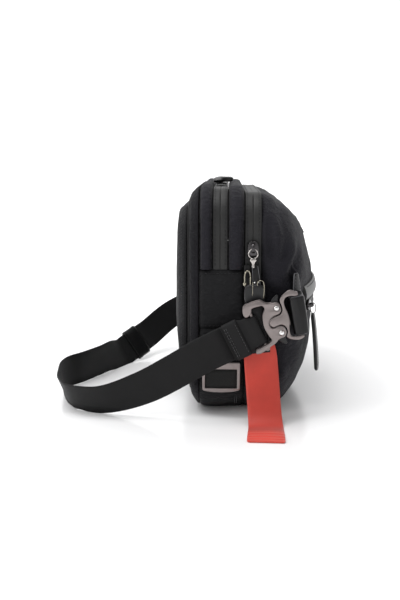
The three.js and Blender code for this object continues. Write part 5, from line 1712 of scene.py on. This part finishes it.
def clasp():
    """tape loop beside the front zip, and the clasp that hangs on it"""
    t = np.linspace(0, 1, 9)
    loop = points(0.3, -131.3 - 0.9 * np.sin(math.pi * t) ** 0.8, 126.0 + 10.8 * t)
    ob = sweep("tag_loop_visual", loop, (1, 0, 0), np.cross(tangents(loop), (1, 0, 0)),
               flat_section(2.9, 0.6, 11, 8), "binding")
    place(ob, "bag", "webbing", "tag_anchor_loop")
    place(plate("clasp_body_visual", CLASP, -133.4, -137.2, "black_metal", 1.3, steps=5),
          "bag", "black_metal", "tag_clasp_body")
    rim = closed_smooth(CLASP, 0.8)
    place(wire("clasp_rim", points(rim[:, 0], -135.6, rim[:, 1]), 0.42, "slate", 8, True),
          "bag", "slider_metal")
    hook = spline([(x, CLASP_Y, z) for x, z in HOOK], 44)
    gate = np.linspace([2.86, CLASP_Y, 127.6], [2.9, CLASP_Y, 120.4], 8)
    pin = np.linspace([4.9, -137.5, 122.6], [4.9, -137.4, 111.5], 8)
    place(rod("clasp_hook_visual", hook, 0.62, "gold", 12), "bag", "pale_gold", "tag_clasp_hook")
    place(rod("clasp_gate_visual", gate, 0.6, "gold"), "clasp_gate", "pale_gold", "tag_clasp_gate")
    place(rod("clasp_bail", spline(BAIL, 40), 0.42, "gold"), "bag", "pale_gold")
    place(rod("clasp_pin", pin, 0.26, "gold", 8), "bag", "pale_gold")
    place(lathe("clasp_collar", (-2.0, CLASP_Y, 121.2), (0, 0, 1), COLLAR, "gold", 20),
          "bag", "pale_gold")


def tag_link():
    """leather tab between the clasp and the ribbon"""
    path = spline([(7.2, -136.3, 105.0), (7.6, -137.2, 100), (8.4, -137.9, 92),
                   (9.8, -138.3, 82), (11.8, -138.6, 61)], 36)
    sections = [flat_section(6.4 + 2.6 * smooth01(t / 0.5),
                             0.95 * (1 - 0.4 * abs(2 * t - 1) ** 8), 15, 10)
                for t in np.arange(36) / 35]
    ob = sweep("tag_link_tab", path, *cross_axes(path), sections, "leather", 60)
    place(ob, "bag", "leather")


# hangs down the near end, then lies on the floor towards -y
RIBBON = [(7.4, -136.6, 103.2), (8.6, -137.5, 92), (10.8, -137.9, 72), (12.6, -138.0, 54.4),
          (14.0, -140.0, 38), (15.6, -146.0, 18), (16.5, -152.0, 6.5), (17.0, -158.5, 1.9),
          (16.8, -168, 1.0), (16.2, -182, 1.0), (15.6, -197, 1.0)]
RIBBON_START = 0.222        # fraction of the controls hidden under the leather tab
RIBBON_HALF = 14.6
# ribs pressed across the hem: height, distance from the free end, width
HEM_RIBS = ((0.5, 6.5, 1.0), (0.5, 13.0, 1.0), (-0.25, 9.7, 1.1), (0.35, 20, 1.2))


def ribbon():
    path = spline(RIBBON, 150, RIBBON_START)
    run = run_length(path)
    stations = np.linspace(0, run[-1], 190)
    path = resample(path, stations, run)
    for _ in range(3):
        path[1:-1] = (path[:-2] + 2 * path[1:-1] + path[2:]) / 4
    path[:, 2] = np.maximum(path[:, 2], 1.05)
    along = tangents(path)
    across = unit(np.array([1.0, 0, 0]) - along * along[:, :1])
    base = flat_section(RIBBON_HALF, 0.62, 21, 12, selvedge=0.1)
    part = base[:, 0] / RIBBON_HALF
    sections = []
    for s in stations:
        hang = smooth01(s / 25) * smooth01((118 - s) / 30)
        left = stations[-1] - s
        section = base.copy()
        # cupped and slowly twisting where it hangs free
        cup = -0.9 * hang * part ** 2
        section[:, 1] += cup + 0.35 * hang * math.sin(s / 13.0) * part
        rib = sum(height * bell(left, centre, width) for height, centre, width in HEM_RIBS)
        section[:, 1] += np.where(section[:, 1] > cup, rib, 0)
        section[:, 0] *= ((1 - 0.12 * math.exp(-s / 5.0)) * (1 - 0.07 * math.exp(-left / 0.8))
                          * (1 + 0.08 * smooth01((60 - left) / 50)))
        sections.append(section)
    ob = sweep("ribbon_visual", path, across, np.cross(along, across), sections, "ribbon", 60,
               move=lambda v: np.maximum(v, (-np.inf, -np.inf, 0.25)))
    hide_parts("tag_ribbon_head", "tag_ribbon_tail")
    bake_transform(ob)


# ---------------------------------------------------------------- build
for build in (back_pad, rear_panel, rear_band, slip_pocket, divider,
              strips, side_panels, gusset_stitches, front_zip_stops,
              front_panel, front_pocket, label,
              main_puller, front_puller, pocket_puller,
              belt, adjuster, belt_end, keeper,
              buckle_plates, buckle_levers, buckle_bars,
              leather_roll, anchor_patches, badge, clasp, tag_link, ribbon):
    build()


# ---------------------------------------------------------------- stage, light, camera
def floor_mat():
    """glossy white that glows more with distance from the bag"""
    s = Shader("floor_white", (0.95, 0.95, 0.955), 0.2)
    s.set(Specular_IOR_Level=0.6, Emission_Color=(1, 1, 1, 1))
    smudges = s.noise(s.coords(), Scale=3.0, Detail=2.0)
    s.link(s.map_range(smudges, to=(0.16, 0.2)), "Roughness")
    distance = s.add("VectorMath", {0: s.coords(scale=(1.0, 0.75, 1.0))}, operation="LENGTH")
    glow = s.map_range(distance.outputs["Value"], to=(0.0, 0.55), source=(0.14, 0.42))
    s.link(glow, "Emission Strength")
    return s.material


def studio_floor():
    """floor that curves up into a wall behind the bag; profile of (y, z)"""
    profile = ([(-3500.0, 0.0), (2200.0, 0.0)]
               + [(2200 + 900 * math.sin(a), 900 - 900 * math.cos(a))
                  for a in np.linspace(0.1, math.pi / 2, 14)]
               + [(3100.0, 4200.0)])
    verts = [(x, y, z) for y, z in profile for x in (-4200.0, 4200.0)]
    faces = grid_faces(len(profile), 2, wrap=False)
    mesh_obj("studio_floor", verts, faces, "floor", None, 60, outward=False)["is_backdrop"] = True


def studio_world():
    """white to the camera, dimmer as a light"""
    world = bpy.data.worlds.new("studio")
    scene.world = world
    world.use_nodes = True
    background = world.node_tree.nodes["Background"].inputs
    background["Color"].default_value = (1, 1, 1, 1)
    nodes = Nodes(world.node_tree)
    seen = nodes.add("LightPath", {}).outputs["Is Camera Ray"]
    world.node_tree.links.new(nodes.map_range(seen, to=(0.47, 1.0)), background["Strength"])


def area_light(name, location, target, size, power):
    light = bpy.data.lights.new(name, "AREA")
    light.shape = "RECTANGLE"
    light.size, light.size_y = size
    light.energy = power
    ob = add_object(name, light)
    ob.location = location
    aim = Vector(target) - Vector(location)
    ob.rotation_euler = aim.to_track_quat("-Z", "Y").to_euler()


def studio_camera():
    data = bpy.data.cameras.new("camera")
    data.lens = 47.4
    data.sensor_width = 36
    data.clip_end = 20
    camera = add_object("camera", data)
    camera.location = (-0.015, -0.810, 0.226)
    turn, down = 2.17 * DEG, 10 * DEG       # towards -x from +y, and below level
    aim = Vector((-math.sin(turn) * math.cos(down), math.cos(turn) * math.cos(down),
                  -math.sin(down)))
    camera.rotation_euler = aim.to_track_quat("-Z", "Y").to_euler()
    scene.camera = camera


MATS["floor"] = floor_mat()
studio_floor()
studio_world()
area_light("key_top", (-0.35, -0.15, 1.3), target=(0, 0, 0.08), size=(0.9, 0.9), power=12)
area_light("front_left", (-1.25, -0.75, 0.75), target=(0, -0.05, 0.1), size=(0.45, 0.9), power=8.5)
area_light("right_rim", (1.1, -0.9, 0.8), target=(0.03, 0, 0.1), size=(0.4, 0.8), power=1.7)
studio_camera()
scene.view_settings.view_transform = "Standard"
scene.view_settings.look = "None"
scene.view_settings.exposure = 0.0


def plain(value):
    """bounds as plain lists and dicts, for json"""
    if isinstance(value, dict):
        return {str(k): plain(v) for k, v in value.items()}
    if isinstance(value, (int, float, str)) or value is None:
        return value
    return [plain(v) for v in value]


{"cad": plain(cad_bounds), "visual": plain(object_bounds())}
